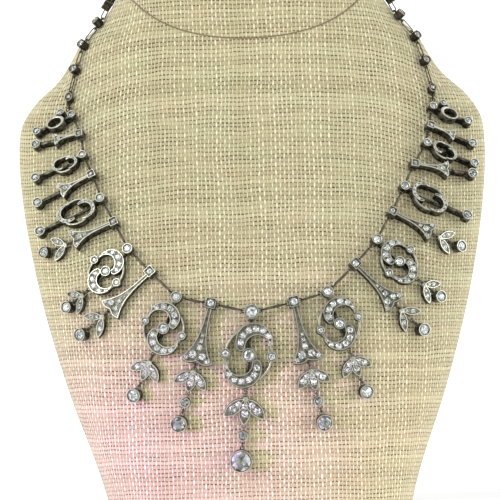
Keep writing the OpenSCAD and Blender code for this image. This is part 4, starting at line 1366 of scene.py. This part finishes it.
DIAMOND = diamond()
heads, middles, ends = Work(), Work(), Work()
for name in NAMES:
    turn, number = PENDANTS[name][:2]
    rank, place = rank_of(name), frame_place(name)
    end_r = rank.end_r - RIM - STONE_GAP
    gem(heads, 0, 0, HEAD_DEPTH - GIRDLE_DROP, rank.head_r - RIM - STONE_GAP, place.frame(), spin=number)
    for x, y, r, depth in mid_collets(rank):
        gem(middles, x, y, depth - GIRDLE_DROP, r - RIM - STONE_GAP, place.frame(turn), spin=number + x)
    if rank.link_r:
        gem(middles, 0, -rank.link_r, SMALL_DEPTH - GIRDLE_DROP, rank.link_r - RIM - STONE_GAP,
            link_place(name).frame(), "rose", spin=0.4)
    if rank.leaves:
        gem(ends, 0, -rank.end_r, END_DEPTH - GIRDLE_DROP, end_r, drop_place(name).frame(),
            "rose" if name in ROSE_CUT_DROPS else "brilliant", spin=0.3 * number)
    else:
        gem(ends, 0, -rank.reach, END_DEPTH - GIRDLE_DROP, end_r, place.frame(), spin=0.3 * number)
for stones, name, node in (
        (heads, "head_diamonds", ("head_stones",)),
        (middles, "middle_diamonds", ("motif_stones",)),
        (ends, "end_diamonds", ("end_stones",)),
        (chain_diamonds, "chain_diamonds", ("chain_stones",)),
        (small_diamonds, "small_diamonds", ())):
    stones.finish(name, DIAMOND, "diamond", *node, sharp=1.0)


# The studio
# The bust stands on a pale round table in a white room. A soft light stands at the left and a weaker one at
# the right, and two low lamps throw a pink glow over the foot of the bust but are kept off metal and stones.
# The room is darker behind the camera, which gives the facets their dark sides.
TABLE_R = 2.0
TABLE_SIDES = 72
FRONT_LIGHT, BACK_LIGHT = 0.44, 1.5
# name, kind, watts, size in metres or opening in degrees, place, what it points at, and tint
LAMPS = (
    ("key", "AREA", 14.2, 0.7, (-1.1, -1.0, 0.7), (0, 0, 0.11), (1.0, 1.0, 0.99)),
    ("side", "AREA", 9.0, 1.0, (1.3, -0.35, 0.5), (0, 0, 0.11), (1.0, 1.0, 1.0)),
    ("table_glow", "SPOT", 8.3, 16.0, (0.42, -0.26, 0.015), (0.01, -0.05, 0.014), (1.0, 0.78, 0.98)),
    ("blush", "SPOT", 23.0, 16.0, (-0.42, -0.26, 0.015), (-0.01, -0.05, 0.024), (0.62, 0.17, 0.95)),
    ("back", "AREA", 8.0, 1.0, (0.0, 1.4, 0.7), (0, 0, 0.1), (1.0, 1.0, 1.0)))


def paper():
    r = Recipe("paper")
    place = r.put("ShaderNodeTexCoord").outputs["Object"]
    cloud = r.put("ShaderNodeTexNoise", {"Vector": place, "Scale": 4.0, "Detail": 3.0}).outputs[0]
    tint = r.ramp(cloud, [(0.3, (0.9, 0.9, 0.89)), (0.7, (0.95, 0.95, 0.94))])
    r.links.new(tint, r.shader.inputs["Base Color"])
    r.shader.inputs["Roughness"].default_value = 0.9
    return r.material


mesh = bpy.data.meshes.new("table")
mesh.from_pydata([(TABLE_R * math.cos(a), TABLE_R * math.sin(a), 0) for a in
                  np.arange(TABLE_SIDES) * 2 * math.pi / TABLE_SIDES], [], [tuple(range(TABLE_SIDES))])
mesh.materials.append(paper())
table = bpy.data.objects.new("table", mesh)
scene.collection.objects.link(table)

world = bpy.data.worlds.new("studio")
world.use_nodes = True
sky, wires = world.node_tree.nodes, world.node_tree.links
facing = sky.new("ShaderNodeSeparateXYZ")
shade = sky.new("ShaderNodeMapRange")
for name, value in (("From Min", -1.0), ("To Min", FRONT_LIGHT), ("To Max", BACK_LIGHT)):
    shade.inputs[name].default_value = value
wires.new(sky.new("ShaderNodeTexCoord").outputs["Generated"], facing.inputs[0])
wires.new(facing.outputs["Y"], shade.inputs[0])
wires.new(shade.outputs[0], sky["Background"].inputs["Strength"])
sky["Background"].inputs["Color"].default_value = (1.0, 1.0, 1.0, 1)
scene.world = world

for name, kind, watts, size, at, aim, tint in LAMPS:
    lamp = bpy.data.objects.new(name, bpy.data.lights.new(name, kind))
    lamp.data.energy, lamp.data.color = watts, tint
    if kind == "AREA":
        lamp.data.size = size
    else:
        lamp.data.spot_size, lamp.data.spot_blend = math.radians(size), 1.0
        lamp.data.shadow_soft_size = 0.05
        lamp.visible_glossy = lamp.visible_transmission = False
    lamp.location = at
    lamp.rotation_euler = (Vector(aim) - Vector(at)).to_track_quat("-Z", "Y").to_euler()
    scene.collection.objects.link(lamp)
